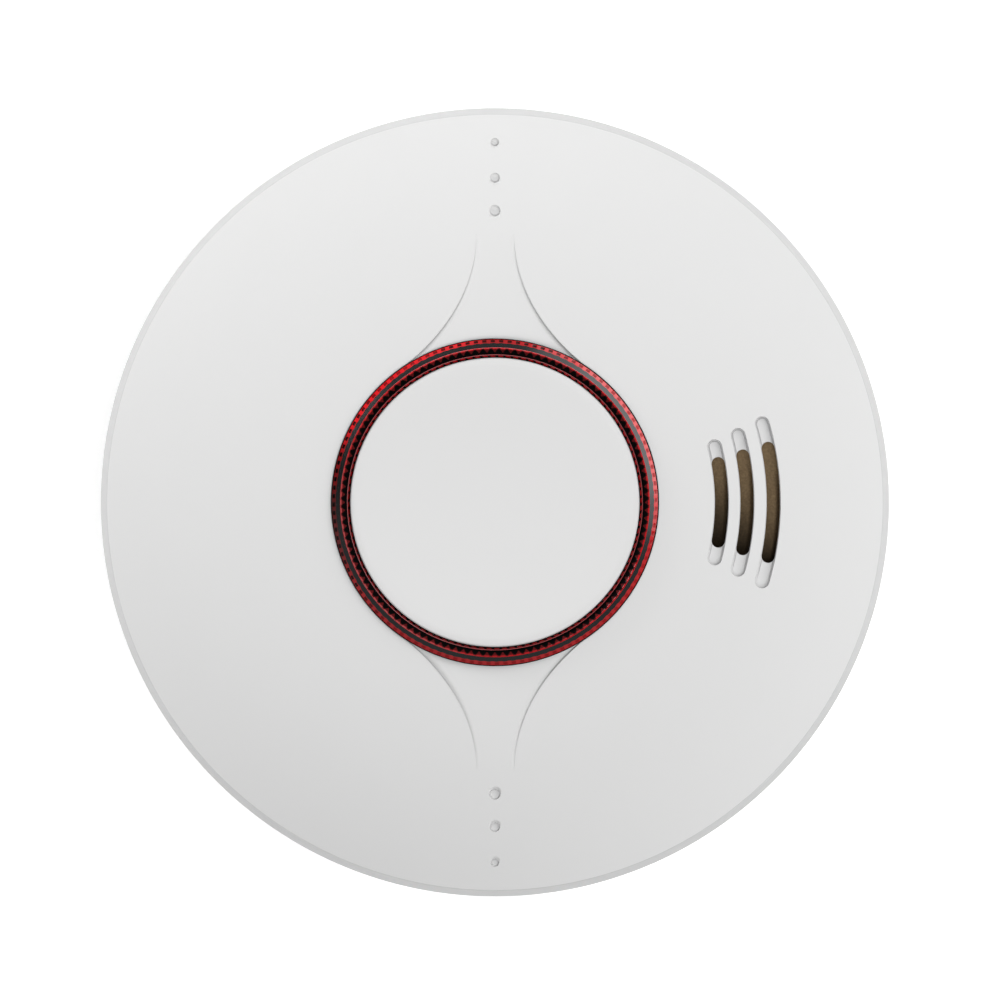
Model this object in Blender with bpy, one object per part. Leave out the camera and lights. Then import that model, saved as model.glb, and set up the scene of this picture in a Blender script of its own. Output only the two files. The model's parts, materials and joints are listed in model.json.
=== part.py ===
"""A ceiling smoke alarm, 102 mm across, as an assembly of its separate pieces.

The origin is the centre of the bracket's ceiling face, and +Z points into the room. The sounder
slots are on +X, and the two rows of dimples run along Y. Sizes are in millimetres and angles in
degrees, and meshes are turned into metres as they are made.
"""

import math

import bmesh
import bpy
from mathutils import Vector
from mathutils.geometry import tessellate_polygon

MM = 0.001
GAP = 0.3  # free space between neighbouring pieces

# Facets round each size of turned piece
LARGE = 48
MEDIUM = 32
SMALL = 16
TINY = 10

# Front cover
RIM_RADIUS = 51.0
RIM_BOTTOM = 22.0
DOME_RADIUS = 50.1
DOME_EDGE = 26.2
DOME_RISE = 9.73
DOME_POWER = 3.0
SHELL = 2.0
COVER_HOLE = 21.4
DIMPLES = ((37.6, 0.73), (41.86, 0.66), (46.5, 0.55))  # distance from the centre, radius
DIMPLE_DEPTH = 0.42

# Sounder slots: centre line radius, half angle of the recess, half angle of the slot through it
SLOTS = ((29.2, 14.2, 9.8), (32.5, 15.4, 10.55), (35.9, 16.4, 11.15))
RECESS_WIDTH = 1.87
RECESS_DEPTH = 0.5
SLOT_WIDTH = 1.71

# Light ring and test button
LENS_OUTER = 21.1
LENS_INNER = 18.7
LENS_TOP = 36.5
LENS_WALL_TOP = 35.7
LENS_FLANGE = 22.9
LENS_BORE = 20.3  # the flange and its retainer are open inside this radius
FLANGE_BOTTOM = 31.5
FLANGE_TOP = 32.5
LIGHT_PIPE_RADIUS = 21.9
BUTTON_RADIUS = LENS_INNER - GAP
BUTTON_TOP = 36.1
BUTTON_UNDERSIDE = 34.6
BUTTON_POST_X = 14.5

# Rear housing, battery well and inlet grille
BACK = 3.0
BACK_WALL = 2.0
HOUSING_TOP = 15.0
HOUSING_RADIUS = 49.0
WELL_LENGTH = 50.0
WELL_WIDTH = 23.6
WELL_WALL = 1.2
WELL_CEILING = 15.7
WELL_TOP = 16.6
GRILLE_OUTER = 47.6
GRILLE_INNER = 45.5
GRILLE_FINS = 48

# Battery door
DOOR_THICKNESS = 1.6
DOOR_LENGTH = 50.4
DOOR_FREE_EDGE = -12.2
HINGE_Y = 11.4
HINGE_Z = BACK + DOOR_THICKNESS / 2
LEDGE = BACK + DOOR_THICKNESS + GAP

# Bracket and its twist lock
BRACKET_RADIUS = 44.0
BRACKET_OPENING = 30.5
BRACKET_PLATE = 2.0
HOOK_ANGLES = (30.0, 150.0, 270.0)
HOOK_HALF_ANGLE = 7.0
HOOK_INNER = 31.2
HOOK_LEG = 33.2
HOOK_OUTER = 36.0
HOOK_BOTTOM = 5.4
HOOK_TOP = 7.0
TWIST = 15.0

# Screws, on three bosses each
BOSS_ANGLES = (90.0, 210.0, 330.0)
HOUSING_BOSS_RADIUS = 42.2
BOARD_BOSS_RADIUS = 33.0
SCREW_SEAT = 5.4  # where the long screws' heads bear on the housing
STAKE_ANGLES = (30.0, 150.0, 270.0)
STAKE_RADIUS = 24.9

# Circuit board and what stands on it
BOARD_RADIUS = 39.0
BOARD_BOTTOM = WELL_TOP + GAP
BOARD_TOP = BOARD_BOTTOM + 1.6
SEAT = BOARD_TOP + GAP
CHAMBER_X = -7.0
CHAMBER_RADIUS = 16.0
CHAMBER_TOP = 29.4
SOUNDER_X = 33.9
SOUNDER_RADIUS = 10.5
SOUNDER_BORE = 9.2
SOUNDER_TOP = 24.9
SWITCH_TOP = 22.3

# Battery cells, size AAA
CELL_RADIUS = 5.25
CELL_LENGTH = 43.7
CELL_Y = 5.7
CELL_Z = LEDGE + CELL_RADIUS
CELL_END = 20.5  # the flat end's distance from the middle of the well
CONTACT_X = 24.5

MATERIALS = {  # colour, roughness, metallic
    "white_abs": ((0.80, 0.80, 0.80), 0.38, 0.0),
    "bracket_abs": ((0.74, 0.74, 0.73), 0.5, 0.0),
    "red_lens": ((0.45, 0.01, 0.012), 0.18, 0.0),
    "black_abs": ((0.015, 0.015, 0.016), 0.5, 0.0),
    "board_laminate": ((0.02, 0.16, 0.05), 0.35, 0.0),
    "zinc_steel": ((0.55, 0.56, 0.58), 0.35, 1.0),
    "piezo_brass": ((0.55, 0.38, 0.16), 0.4, 1.0),
    "piezo_ceramic": ((0.62, 0.58, 0.50), 0.6, 0.0),
    "bronze_screen": ((0.14, 0.10, 0.06), 0.7, 0.0),
    "foam": ((0.03, 0.03, 0.03), 0.95, 0.0),
    "cell_sleeve": ((0.05, 0.07, 0.12), 0.3, 0.0),
    "capacitor_can": ((0.05, 0.07, 0.12), 0.3, 0.0),
    "chip_epoxy": ((0.012, 0.012, 0.013), 0.55, 0.0),
    "clear_epoxy": ((0.75, 0.72, 0.66), 0.12, 0.0),
    "red_wire": ((0.5, 0.01, 0.01), 0.45, 0.0),
}


def clear_scene():
    for obj in list(bpy.data.objects):
        bpy.data.objects.remove(obj)


def material(slot):
    """The material of one slot, made on first use."""
    if slot in bpy.data.materials:
        return bpy.data.materials[slot]
    colour, roughness, metallic = MATERIALS[slot]
    made = bpy.data.materials.new(slot)
    made.use_nodes = True
    shader = made.node_tree.nodes["Principled BSDF"]
    shader.inputs["Base Color"].default_value = (*colour, 1.0)
    shader.inputs["Roughness"].default_value = roughness
    shader.inputs["Metallic"].default_value = metallic
    return made


# ---- Outlines, as lists of (x, y) corners ----


def polar(radius, angle, centre=(0.0, 0.0)):
    turn = math.radians(angle)
    return centre[0] + radius * math.cos(turn), centre[1] + radius * math.sin(turn)


def arc(radius, start, end, steps, centre=(0.0, 0.0)):
    return [polar(radius, start + (end - start) * i / steps, centre) for i in range(steps + 1)]


def circle(radius, facets, centre=(0.0, 0.0)):
    return arc(radius, 0.0, 360.0, facets, centre)[:-1]


def arc_slot(radius, half_angle, width, middle=0.0, steps=6, end_steps=3):
    """A slot bent round the origin, with half-round ends centred at the half angle."""
    half = width / 2
    low = middle - half_angle
    high = middle + half_angle
    outline = arc(radius + half, low, high, steps)
    outline += arc(half, high, high + 180, end_steps, polar(radius, high))[1:-1]
    outline += arc(radius - half, high, low, steps)
    outline += arc(half, low + 180, low + 360, end_steps, polar(radius, low))[1:-1]
    return outline


def rectangle(low_x, high_x, low_y, high_y):
    return [(low_x, low_y), (high_x, low_y), (high_x, high_y), (low_x, high_y)]


# ---- Solids ----


def add_object(name, bm):
    """Turns a closed bmesh in millimetres into an object in metres."""
    bmesh.ops.recalc_face_normals(bm, faces=bm.faces)
    bmesh.ops.scale(bm, vec=(MM, MM, MM), verts=bm.verts)
    mesh = bpy.data.meshes.new(name)
    bm.to_mesh(mesh)
    bm.free()
    obj = bpy.data.objects.new(name, mesh)
    bpy.context.scene.collection.objects.link(obj)
    return obj


def prism(name, outline, bottom, top, holes=(), along="z"):
    """A straight-sided solid. Along x, the outline's corners are (y, z) and it runs in X."""
    loops = [outline, *holes]
    corners = [corner for loop in loops for corner in loop]
    bm = bmesh.new()
    ends = []
    for level in (bottom, top):
        places = [(level, a, b) if along == "x" else (a, b, level) for a, b in corners]
        ends.append([bm.verts.new(place) for place in places])
    low, high = ends
    for triangle in tessellate_polygon([[Vector((a, b, 0.0)) for a, b in loop] for loop in loops]):
        bm.faces.new([high[i] for i in triangle])
        bm.faces.new([low[i] for i in reversed(triangle)])
    first = 0
    for loop in loops:
        count = len(loop)
        for i in range(count):
            here = first + i
            after = first + (i + 1) % count
            bm.faces.new((low[here], low[after], high[after], high[here]))
        first += count
    return add_object(name, bm)


def box(name, low, high):
    return prism(name, rectangle(low[0], high[0], low[1], high[1]), low[2], high[2])


def turned(name, profile, facets, centre=(0.0, 0.0), along="z", start=None, end=None):
    """A solid turned from the (radius, height) corners of its half section.

    With start and end it is only the sector between those angles, closed by flat ends. Along x,
    the axis runs in X through the (y, z) centre, and heights are places in X.
    """
    whole = start is None
    first = 0.0 if whole else start
    sweep = 360.0 if whole else end - start
    count = facets if whole else facets + 1
    bm = bmesh.new()
    rings = []
    for radius, height in profile:
        places = [polar(radius, first + sweep * i / facets, centre) for i in range(count)]
        if radius == 0:
            places = places[:1]
        if along == "x":
            rings.append([bm.verts.new((height, a, b)) for a, b in places])
        else:
            rings.append([bm.verts.new((a, b, height)) for a, b in places])
    for lower, upper in zip(rings, rings[1:] + rings[:1]):
        if len(lower) == len(upper) == 1:
            continue
        for i in range(facets):
            after = (i + 1) % count
            corners = [lower[i % len(lower)], lower[after % len(lower)]]
            corners += [upper[after % len(upper)], upper[i % len(upper)]]
            bm.faces.new(list(dict.fromkeys(corners)))
    if not whole:
        bm.faces.new([ring[0] for ring in rings])
        bm.faces.new([ring[-1] for ring in reversed(rings)])
    return add_object(name, bm)


def rod(name, radius, bottom, top, centre, facets=SMALL, along="z"):
    profile = [(0.0, bottom), (radius, bottom), (radius, top), (0.0, top)]
    return turned(name, profile, facets, centre, along)


def tube(name, points, radius, sides):
    """A round wire along a path, with flat ends."""
    path = [Vector(point) for point in points]
    bm = bmesh.new()
    rings = []
    normal = None
    for i, point in enumerate(path):
        tangent = (path[min(i + 1, len(path) - 1)] - path[max(i - 1, 0)]).normalized()
        if normal is None:
            normal = tangent.orthogonal().normalized()
        normal = (normal - tangent * normal.dot(tangent)).normalized()
        side = tangent.cross(normal)
        ring = []
        for k in range(sides):
            across, up = polar(radius, 360.0 * k / sides)
            ring.append(bm.verts.new(point + normal * across + side * up))
        rings.append(ring)
    for lower, upper in zip(rings, rings[1:]):
        for k in range(sides):
            after = (k + 1) % sides
            bm.faces.new((lower[k], lower[after], upper[after], upper[k]))
    bm.faces.new(rings[0])
    bm.faces.new(list(reversed(rings[-1])))
    return add_object(name, bm)


def boolean(target, operation, tools):
    """Applies one Boolean after another to the target and removes the tools."""
    for tool in tools:
        modifier = target.modifiers.new(tool.name, "BOOLEAN")
        modifier.operation = operation
        modifier.solver = "EXACT"
        modifier.object = tool
    bpy.context.view_layer.update()
    evaluated = target.evaluated_get(bpy.context.evaluated_depsgraph_get())
    before = target.data
    target.data = bpy.data.meshes.new_from_object(evaluated)
    target.modifiers.clear()
    bpy.data.meshes.remove(before)
    for tool in tools:
        bpy.data.objects.remove(tool)
    return target


def merge(target, *tools):
    return boolean(target, "UNION", tools)


def carve(target, *tools):
    return boolean(target, "DIFFERENCE", tools)


def empty(name, place, parent=None):
    """An empty on a joint's axis, which carries the body's pieces."""
    made = bpy.data.objects.new(name, None)
    bpy.context.scene.collection.objects.link(made)
    made.location = [value * MM for value in place]
    bpy.context.view_layer.update()
    if parent:
        made.parent = parent
        made.matrix_parent_inverse = parent.matrix_world.inverted()
    return made


def place_piece(obj, slot, body):
    """Gives a finished piece its material, its shading and the body it moves with."""
    obj.data.materials.clear()
    obj.data.materials.append(material(slot))
    obj.data.shade_smooth()
    obj.data.set_sharp_from_angle(angle=math.radians(32))
    obj.parent = body
    obj.matrix_parent_inverse = body.matrix_world.inverted()


# ---- Bracket ----


def make_bracket():
    """The ceiling plate, with two curved screw slots, two round screw holes and three hooks."""
    screw_circle = (BRACKET_RADIUS + HOOK_OUTER) / 2
    holes = [circle(BRACKET_OPENING, LARGE)]
    holes += [arc_slot(screw_circle, 10.0, 4.6, middle) for middle in (0.0, 180.0)]
    holes += [circle(2.1, SMALL, polar(screw_circle, middle)) for middle in (90.0, 225.0)]
    plate = prism("mounting_bracket", circle(BRACKET_RADIUS, LARGE), 0.0, BRACKET_PLATE, holes)
    root = BRACKET_PLATE / 2
    section = [(HOOK_INNER, root), (HOOK_LEG, root), (HOOK_LEG, HOOK_BOTTOM)]
    section += [(HOOK_OUTER, HOOK_BOTTOM), (HOOK_OUTER, HOOK_TOP), (HOOK_INNER, HOOK_TOP)]
    hooks = []
    for middle in HOOK_ANGLES:
        low = middle - HOOK_HALF_ANGLE
        hooks.append(turned("hook", section, 2, start=low, end=middle + HOOK_HALF_ANGLE))
    return merge(plate, *hooks)


# ---- Rear housing and battery compartment ----


def bayonet_slot(middle):
    """A hook's way through the back wall: wide where it enters, narrow where it locks."""
    spare = 0.8
    inner = HOOK_INNER - GAP
    low = middle - TWIST - HOOK_HALF_ANGLE - spare
    entry_end = middle - TWIST + HOOK_HALF_ANGLE + spare
    high = middle + HOOK_HALF_ANGLE + spare
    outline = arc(inner, low, high, 6)
    outline += arc(HOOK_LEG + GAP, high, entry_end, 3)
    outline += arc(HOOK_OUTER + GAP, entry_end, low, 3)
    return prism("slot", outline, BACK - 1.0, BACK + BACK_WALL + 1.0)


def make_rear_housing():
    """The base of the alarm: a shallow drum with the battery well, the bosses and the slots."""
    floor = BACK + BACK_WALL
    section = [(0.0, BACK), (45.6, BACK), (47.6, 5.2), (48.6, 9.0), (HOUSING_RADIUS, HOUSING_TOP)]
    section += [(47.3, HOUSING_TOP), (46.9, 9.0), (46.1, 6.4), (44.6, floor), (0.0, floor)]
    housing = turned("rear_housing", section, LARGE)

    half_length = WELL_LENGTH / 2
    half_width = WELL_WIDTH / 2
    outer_x = half_length + WELL_WALL
    outer_y = half_width + WELL_WALL
    additions = [box("well", (-outer_x, -outer_y, floor - 0.6), (outer_x, outer_y, WELL_TOP))]
    for angle in BOSS_ANGLES:
        boss = [(0.0, floor - 0.8), (3.5, floor - 0.8), (3.5, 7.6), (2.7, 7.9)]
        boss += [(2.7, RIM_BOTTOM - 0.4), (0.0, RIM_BOTTOM - 0.4)]
        additions.append(turned("boss", boss, SMALL, polar(HOUSING_BOSS_RADIUS, angle)))
        place = polar(BOARD_BOSS_RADIUS, angle)
        additions.append(rod("boss", 2.4, floor - 0.8, WELL_TOP, place))
    merge(housing, *additions)

    half_door = DOOR_LENGTH / 2 + GAP
    low_y = DOOR_FREE_EDGE - GAP
    low = (-half_length, -half_width, BACK - 1.0)
    cuts = [box("cells", low, (half_length, half_width, WELL_CEILING))]
    cuts.append(box("door", (-half_door, low_y, BACK - 1.0), (half_door, -low_y, LEDGE)))
    cuts.append(box("scoop", (-5.0, low_y - 2.1, BACK - 1.0), (5.0, low_y + 1.0, 4.3)))
    for side in (-1, 1):
        ends = sorted((side * (half_door - 0.5), side * (half_door + 1.2)))
        notch = ((ends[0], HINGE_Y - 0.8, BACK - 1.0), (ends[1], HINGE_Y + 0.8, LEDGE - 0.2))
        cuts.append(box("notch", *notch))
    cuts += [bayonet_slot(middle) for middle in HOOK_ANGLES]
    for angle in BOSS_ANGLES:
        bore = [(0.0, BACK - 1.0), (2.75, BACK - 1.0), (2.75, SCREW_SEAT), (1.45, SCREW_SEAT)]
        bore += [(1.45, RIM_BOTTOM + 1.0), (0.0, RIM_BOTTOM + 1.0)]
        cuts.append(turned("bore", bore, TINY, polar(HOUSING_BOSS_RADIUS, angle)))
        place = polar(BOARD_BOSS_RADIUS, angle)
        cuts.append(rod("bore", 1.3, 8.0, WELL_TOP + 1.0, place, TINY))
    return carve(housing, *cuts)


def make_battery_door():
    """The door plate, with a round hinge edge, two pegs and a finger tab."""
    radius = DOOR_THICKNESS / 2
    top = BACK + DOOR_THICKNESS
    outline = [(DOOR_FREE_EDGE, BACK)]
    outline += arc(radius, -90.0, 90.0, 6, (HINGE_Y, HINGE_Z))
    outline += [(DOOR_FREE_EDGE, top)]
    half = DOOR_LENGTH / 2
    door = prism("battery_door", outline, -half, half, along="x")
    tab = box("tab", (-4.5, DOOR_FREE_EDGE - 1.7, BACK + 0.1), (4.5, DOOR_FREE_EDGE + 0.5, 4.0))
    parts = [tab]
    for side in (-1, 1):
        low, high = sorted((side * (half - 0.5), side * (half + 1.1)))
        parts.append(rod("peg", 0.5, low, high, (HINGE_Y, HINGE_Z), TINY, along="x"))
    return merge(door, *parts)


def make_cell(name, side):
    """One AAA cell. side is 1 where its raised end points to +X."""
    nub = CELL_END + (CELL_LENGTH - 2 * CELL_END)
    section = [(0.0, -CELL_END), (4.6, -CELL_END), (5.1, -CELL_END + 0.4)]
    section += [(CELL_RADIUS, -CELL_END + 0.9), (CELL_RADIUS, nub - 0.9), (5.0, nub - 0.2)]
    section += [(4.4, nub), (1.9, nub), (1.9, nub + 0.8), (0.0, nub + 0.8)]
    section = [(radius, side * place) for radius, place in section]
    return turned(name, section, SMALL, (side * CELL_Y, CELL_Z), along="x")


def make_spring(name, side):
    """The coned coil behind a cell's flat end."""
    turns = 2.5
    steps = 22
    first = CONTACT_X - 0.8
    last = CELL_END + 0.65
    points = []
    for i in range(steps + 1):
        share = i / steps
        across, up = polar(3.9 - 1.5 * share, 360.0 * turns * share)
        x = first + (last - first) * share
        points.append((-side * x, side * CELL_Y + across, CELL_Z + up))
    return tube(name, points, 0.3, 5)


def make_contacts():
    """The link plate that joins the cells at -X, and the two outer plates at +X."""
    low, high = CELL_Z - 3.6, CELL_Z + 3.6
    thin = 0.2
    plates = []
    spans = {
        "battery_link_contact": (-1, -9.6, 9.6),
        "battery_contact_positive": (1, 1.8, 9.6),
        "battery_contact_negative": (1, -9.6, -1.8),
    }
    for name, (side, low_y, high_y) in spans.items():
        x = side * CONTACT_X
        plates.append(box(name, (x - thin, low_y, low), (x + thin, high_y, high)))
    return plates


def make_screw(name, place, seat, direction, head_radius, head_height, radius, length):
    """A pan-head screw. Its head's flat underside is at the seat, and it points to direction."""
    section = [(0.0, -head_height), (head_radius * 0.7, -head_height)]
    section += [(head_radius, -head_height * 0.4), (head_radius, 0.0), (radius, 0.0)]
    section += [(radius, length - radius * 1.5), (0.0, length)]
    section = [(r, seat + direction * z) for r, z in section]
    screw = turned(name, section, TINY, place)
    deep = head_height * 0.55
    outer = seat - direction * (head_height + 0.2)
    inner = seat - direction * (head_height - deep)
    low, high = sorted((outer, inner))
    arm = head_radius * 0.55
    slim = head_radius * 0.13
    x, y = place
    across = box("recess", (x - arm, y - slim, low), (x + arm, y + slim, high))
    along = box("recess", (x - slim, y - arm, low), (x + slim, y + arm, high))
    return carve(screw, across, along)


# ---- Inlet grille ----


def make_inlet_grille():
    """The ring of upright fins that smoke passes through, between the housing and the cover."""
    levels = (HOUSING_TOP + GAP, HOUSING_TOP + 1.4, RIM_BOTTOM - 1.4, RIM_BOTTOM - GAP)
    pitch = 360.0 / GRILLE_FINS
    fin_share = 0.45
    angles = []
    for fin in range(GRILLE_FINS):
        angles += [fin * pitch, (fin + fin_share) * pitch]
    columns = len(angles)
    rows = len(levels) - 1

    def is_solid(column, row):
        return 0 <= row < rows and (row != 1 or column % 2 == 0)

    bm = bmesh.new()
    corners = {}

    def corner(column, level, radius):
        key = (column % columns, level, radius)
        if key not in corners:
            x, y = polar(radius, angles[key[0]])
            corners[key] = bm.verts.new((x, y, levels[level]))
        return corners[key]

    def wall(*keys):
        bm.faces.new([corner(*key) for key in keys])

    inner, outer = GRILLE_INNER, GRILLE_OUTER
    for column in range(columns):
        after = column + 1
        for row in range(rows):
            if not is_solid(column, row):
                continue
            up = row + 1
            for radius in (inner, outer):
                wall((column, row, radius), (after, row, radius), (after, up, radius), (column, up, radius))
            for level, beyond in ((row, row - 1), (up, row + 1)):
                if not is_solid(column, beyond):
                    near = ((column, level, inner), (after, level, inner))
                    wall(*near, (after, level, outer), (column, level, outer))
            for edge, beyond in ((column, column - 1), (after, column + 1)):
                if not is_solid(beyond % columns, row):
                    near = ((edge, row, inner), (edge, up, inner))
                    wall(*near, (edge, up, outer), (edge, row, outer))
    return add_object("inlet_grille", bm)


# ---- Front cover ----


def dome(radius):
    """Height of the cover's outer surface."""
    return DOME_EDGE + DOME_RISE * (1.0 - (radius / DOME_RADIUS) ** DOME_POWER)


def make_sounder_collar():
    """The wall under the dome that guides the sound from the disc to the slots."""
    bottom = SOUNDER_TOP + 1.0
    collar = turned(
        "collar",
        [(SOUNDER_BORE, bottom), (SOUNDER_RADIUS, bottom), (SOUNDER_RADIUS, 36.0), (SOUNDER_BORE, 36.0)],
        MEDIUM,
        (SOUNDER_X, 0.0),
    )
    radii = (48.0, 44.0, 40.0, 36.0, 32.0, 28.0, 24.0, 20.0)
    below_dome = [(0.0, 20.0), (48.0, 20.0)]
    below_dome += [(radius, dome(radius) - SHELL / 2) for radius in radii]
    below_dome += [(0.0, dome(20.0) - SHELL / 2)]
    return boolean(collar, "INTERSECT", [turned("fill", below_dome, LARGE)])


def make_front_cover():
    """The domed cover, with its sounder slots, dimples, screw bosses and stakes."""
    outer_radii = (DOME_RADIUS, 48.0, 45.0, 41.0, 36.0, 31.0, 26.0, COVER_HOLE)
    inner_radii = (COVER_HOLE, 26.0, 31.0, 36.0, 41.0, 45.0, 48.0)
    section = [(49.4, RIM_BOTTOM), (RIM_RADIUS, RIM_BOTTOM), (RIM_RADIUS - 0.1, RIM_BOTTOM + 0.6)]
    section += [(radius, dome(radius)) for radius in outer_radii]
    section += [(radius, dome(radius) - SHELL) for radius in inner_radii]
    section += [(49.0, dome(48.0) - SHELL - 1.0)]
    cover = turned("front_cover", section, LARGE)

    additions = [make_sounder_collar()]
    for angle in BOSS_ANGLES:
        place = polar(HOUSING_BOSS_RADIUS, angle)
        additions.append(rod("boss", 2.7, RIM_BOTTOM - 0.1, 28.6, place))
    for angle in STAKE_ANGLES:
        stake = [(0.0, 29.2), (1.5, 29.2), (1.5, 29.5), (0.9, 29.7), (0.9, 33.0), (0.0, 33.0)]
        additions.append(turned("stake", stake, TINY, polar(STAKE_RADIUS, angle)))
    merge(cover, *additions)

    cuts = []
    for radius, recess_angle, slot_angle in SLOTS:
        floor = dome(radius) - RECESS_DEPTH
        cuts.append(prism("recess", arc_slot(radius, recess_angle, RECESS_WIDTH), floor, 40.0))
        cuts.append(prism("slot", arc_slot(radius, slot_angle, SLOT_WIDTH), 27.5, 40.0))
    for distance, radius in DIMPLES:
        for side in (-1, 1):
            place = (0.0, side * distance)
            cuts.append(rod("dimple", radius, dome(distance) - DIMPLE_DEPTH, 40.0, place, TINY))
    for angle in BOSS_ANGLES:
        place = polar(HOUSING_BOSS_RADIUS, angle)
        cuts.append(rod("bore", 1.4, RIM_BOTTOM - 1.0, 26.2, place, TINY))
    return carve(cover, *cuts)


# ---- Light ring and test button ----


def make_ring_lens():
    """The red light ring: a crowned ring, a flange under the cover and two light pipes."""
    section = [(LENS_INNER, FLANGE_TOP + 0.35), (LENS_BORE, FLANGE_TOP + 0.35), (LENS_BORE, FLANGE_BOTTOM)]
    section += [(LENS_FLANGE, FLANGE_BOTTOM), (LENS_FLANGE, FLANGE_TOP), (LENS_OUTER, FLANGE_TOP)]
    section += [(LENS_OUTER, LENS_WALL_TOP), (20.0, LENS_TOP - 0.05), (19.8, LENS_TOP)]
    section += [(19.6, LENS_TOP - 0.1), (19.0, LENS_WALL_TOP), (LENS_INNER, LENS_WALL_TOP - 0.5)]
    lens = turned("ring_lens", section, LARGE)
    pipes = []
    for side in (-1, 1):
        place = (0.0, side * LIGHT_PIPE_RADIUS)
        pipes.append(rod("pipe", 0.9, 24.6, FLANGE_BOTTOM + 0.5, place, TINY))
    return merge(lens, *pipes)


def make_ring_retainer():
    """The black ring that holds the lens up against the cover, on three stakes."""
    bottom, top = 30.0, 31.2
    holes = [circle(LENS_BORE, LARGE)]
    ring = prism("ring_retainer", circle(LENS_FLANGE, LARGE), bottom, top, holes)
    ears = []
    for angle in STAKE_ANGLES:
        ears.append(rod("ear", 2.5, bottom, top, polar(STAKE_RADIUS, angle)))
    merge(ring, *ears)
    cuts = []
    for angle in STAKE_ANGLES:
        cuts.append(rod("hole", 1.25, bottom - 1.0, top + 1.0, polar(STAKE_RADIUS, angle), TINY))
    for side in (-1, 1):
        place = (0.0, side * LIGHT_PIPE_RADIUS)
        cuts.append(rod("notch", 1.3, bottom - 1.0, top + 1.0, place, TINY))
    return carve(ring, *cuts)


def make_test_button():
    """The dished push button, with its skirt, its flange and the post over the switch."""
    inside = 17.2
    section = [(0.0, BUTTON_UNDERSIDE), (0.0, BUTTON_TOP - 0.25), (9.0, BUTTON_TOP - 0.2)]
    section += [(17.6, BUTTON_TOP), (18.3, BUTTON_TOP - 0.05), (BUTTON_RADIUS, BUTTON_TOP - 0.35)]
    section += [(BUTTON_RADIUS, FLANGE_TOP), (19.9, FLANGE_TOP), (19.9, FLANGE_BOTTOM)]
    section += [(inside, FLANGE_BOTTOM), (inside, BUTTON_UNDERSIDE)]
    button = turned("test_button", section, LARGE)
    bottom = SWITCH_TOP + 1.8
    return merge(button, rod("post", 1.5, bottom, BUTTON_UNDERSIDE + 0.6, (BUTTON_POST_X, 0.0)))


# ---- Circuit board ----


def make_main_board():
    holes = [circle(1.4, TINY, polar(BOARD_BOSS_RADIUS, angle)) for angle in BOSS_ANGLES]
    return prism("main_board", circle(BOARD_RADIUS, LARGE), BOARD_BOTTOM, BOARD_TOP, holes)


def make_switch():
    """The small push switch under the button's post: its body and its plunger."""
    x = BUTTON_POST_X
    outline = rectangle(x - 2.9, x + 2.9, -2.9, 2.9)
    body = prism("tact_switch_body", outline, SEAT, SWITCH_TOP)
    carve(body, rod("well", 1.9, 20.1, SWITCH_TOP + 1.0, (x, 0.0)))
    plunger = rod("tact_switch_plunger", 1.55, 21.2, SWITCH_TOP + 1.5, (x, 0.0))
    return body, plunger


def make_ring_led(name, side):
    section = [(0.0, SEAT), (1.9, SEAT), (1.9, 19.8), (1.5, 19.8), (1.5, 22.9), (1.1, 23.8)]
    section += [(0.0, 24.2)]
    return turned(name, section, TINY, (0.0, side * LIGHT_PIPE_RADIUS))


def make_capacitor():
    section = [(0.0, SEAT), (3.15, SEAT), (3.15, 19.9), (2.9, 20.2), (3.15, 20.5), (3.15, 25.6)]
    section += [(2.8, 25.9), (0.0, 25.9)]
    return turned("capacitor", section, SMALL, (-14.0, 27.0))


def make_boost_inductor():
    section = [(0.0, SEAT), (3.2, SEAT), (3.2, 19.6), (2.1, 19.9), (2.1, 21.6), (3.2, 21.9)]
    section += [(3.2, 22.7), (0.0, 22.7)]
    return turned("boost_inductor", section, SMALL, (14.0, 27.0))


# ---- Sensing chamber ----


def make_chamber_base():
    """The black tray with a ring of bent vanes, which let smoke in and keep light out."""
    vanes = 14
    floor = SEAT + 1.2
    tray = prism("chamber_base", circle(CHAMBER_RADIUS, MEDIUM, (CHAMBER_X, 0.0)), SEAT, floor)
    centre = (CHAMBER_X, 0.0)
    blades = []
    for i in range(vanes):
        turn = 360.0 * i / vanes
        outline = [polar(11.4, turn, centre), polar(13.6, turn + 12, centre), polar(15.4, turn + 4, centre)]
        outline += [polar(15.4, turn + 8, centre), polar(13.9, turn + 16, centre)]
        outline += [polar(11.4, turn + 5, centre)]
        blades.append(prism("vane", outline, floor - 0.3, CHAMBER_TOP - 1.8))
    return merge(tray, *blades)


def make_chamber_cap():
    centre = (CHAMBER_X, 0.0)
    section = [(0.0, CHAMBER_TOP - 1.5), (CHAMBER_RADIUS, CHAMBER_TOP - 1.5)]
    section += [(CHAMBER_RADIUS, CHAMBER_TOP - 0.5), (CHAMBER_RADIUS - 0.5, CHAMBER_TOP)]
    section += [(0.0, CHAMBER_TOP)]
    return turned("chamber_cap", section, MEDIUM, centre)


def make_insect_screen():
    inner = CHAMBER_RADIUS + GAP
    outer = inner + 0.3
    bottom, top = SEAT, CHAMBER_TOP - 0.4
    section = [(inner, bottom), (outer, bottom), (outer, top), (inner, top)]
    return turned("insect_screen", section, MEDIUM, (CHAMBER_X, 0.0))


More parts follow.
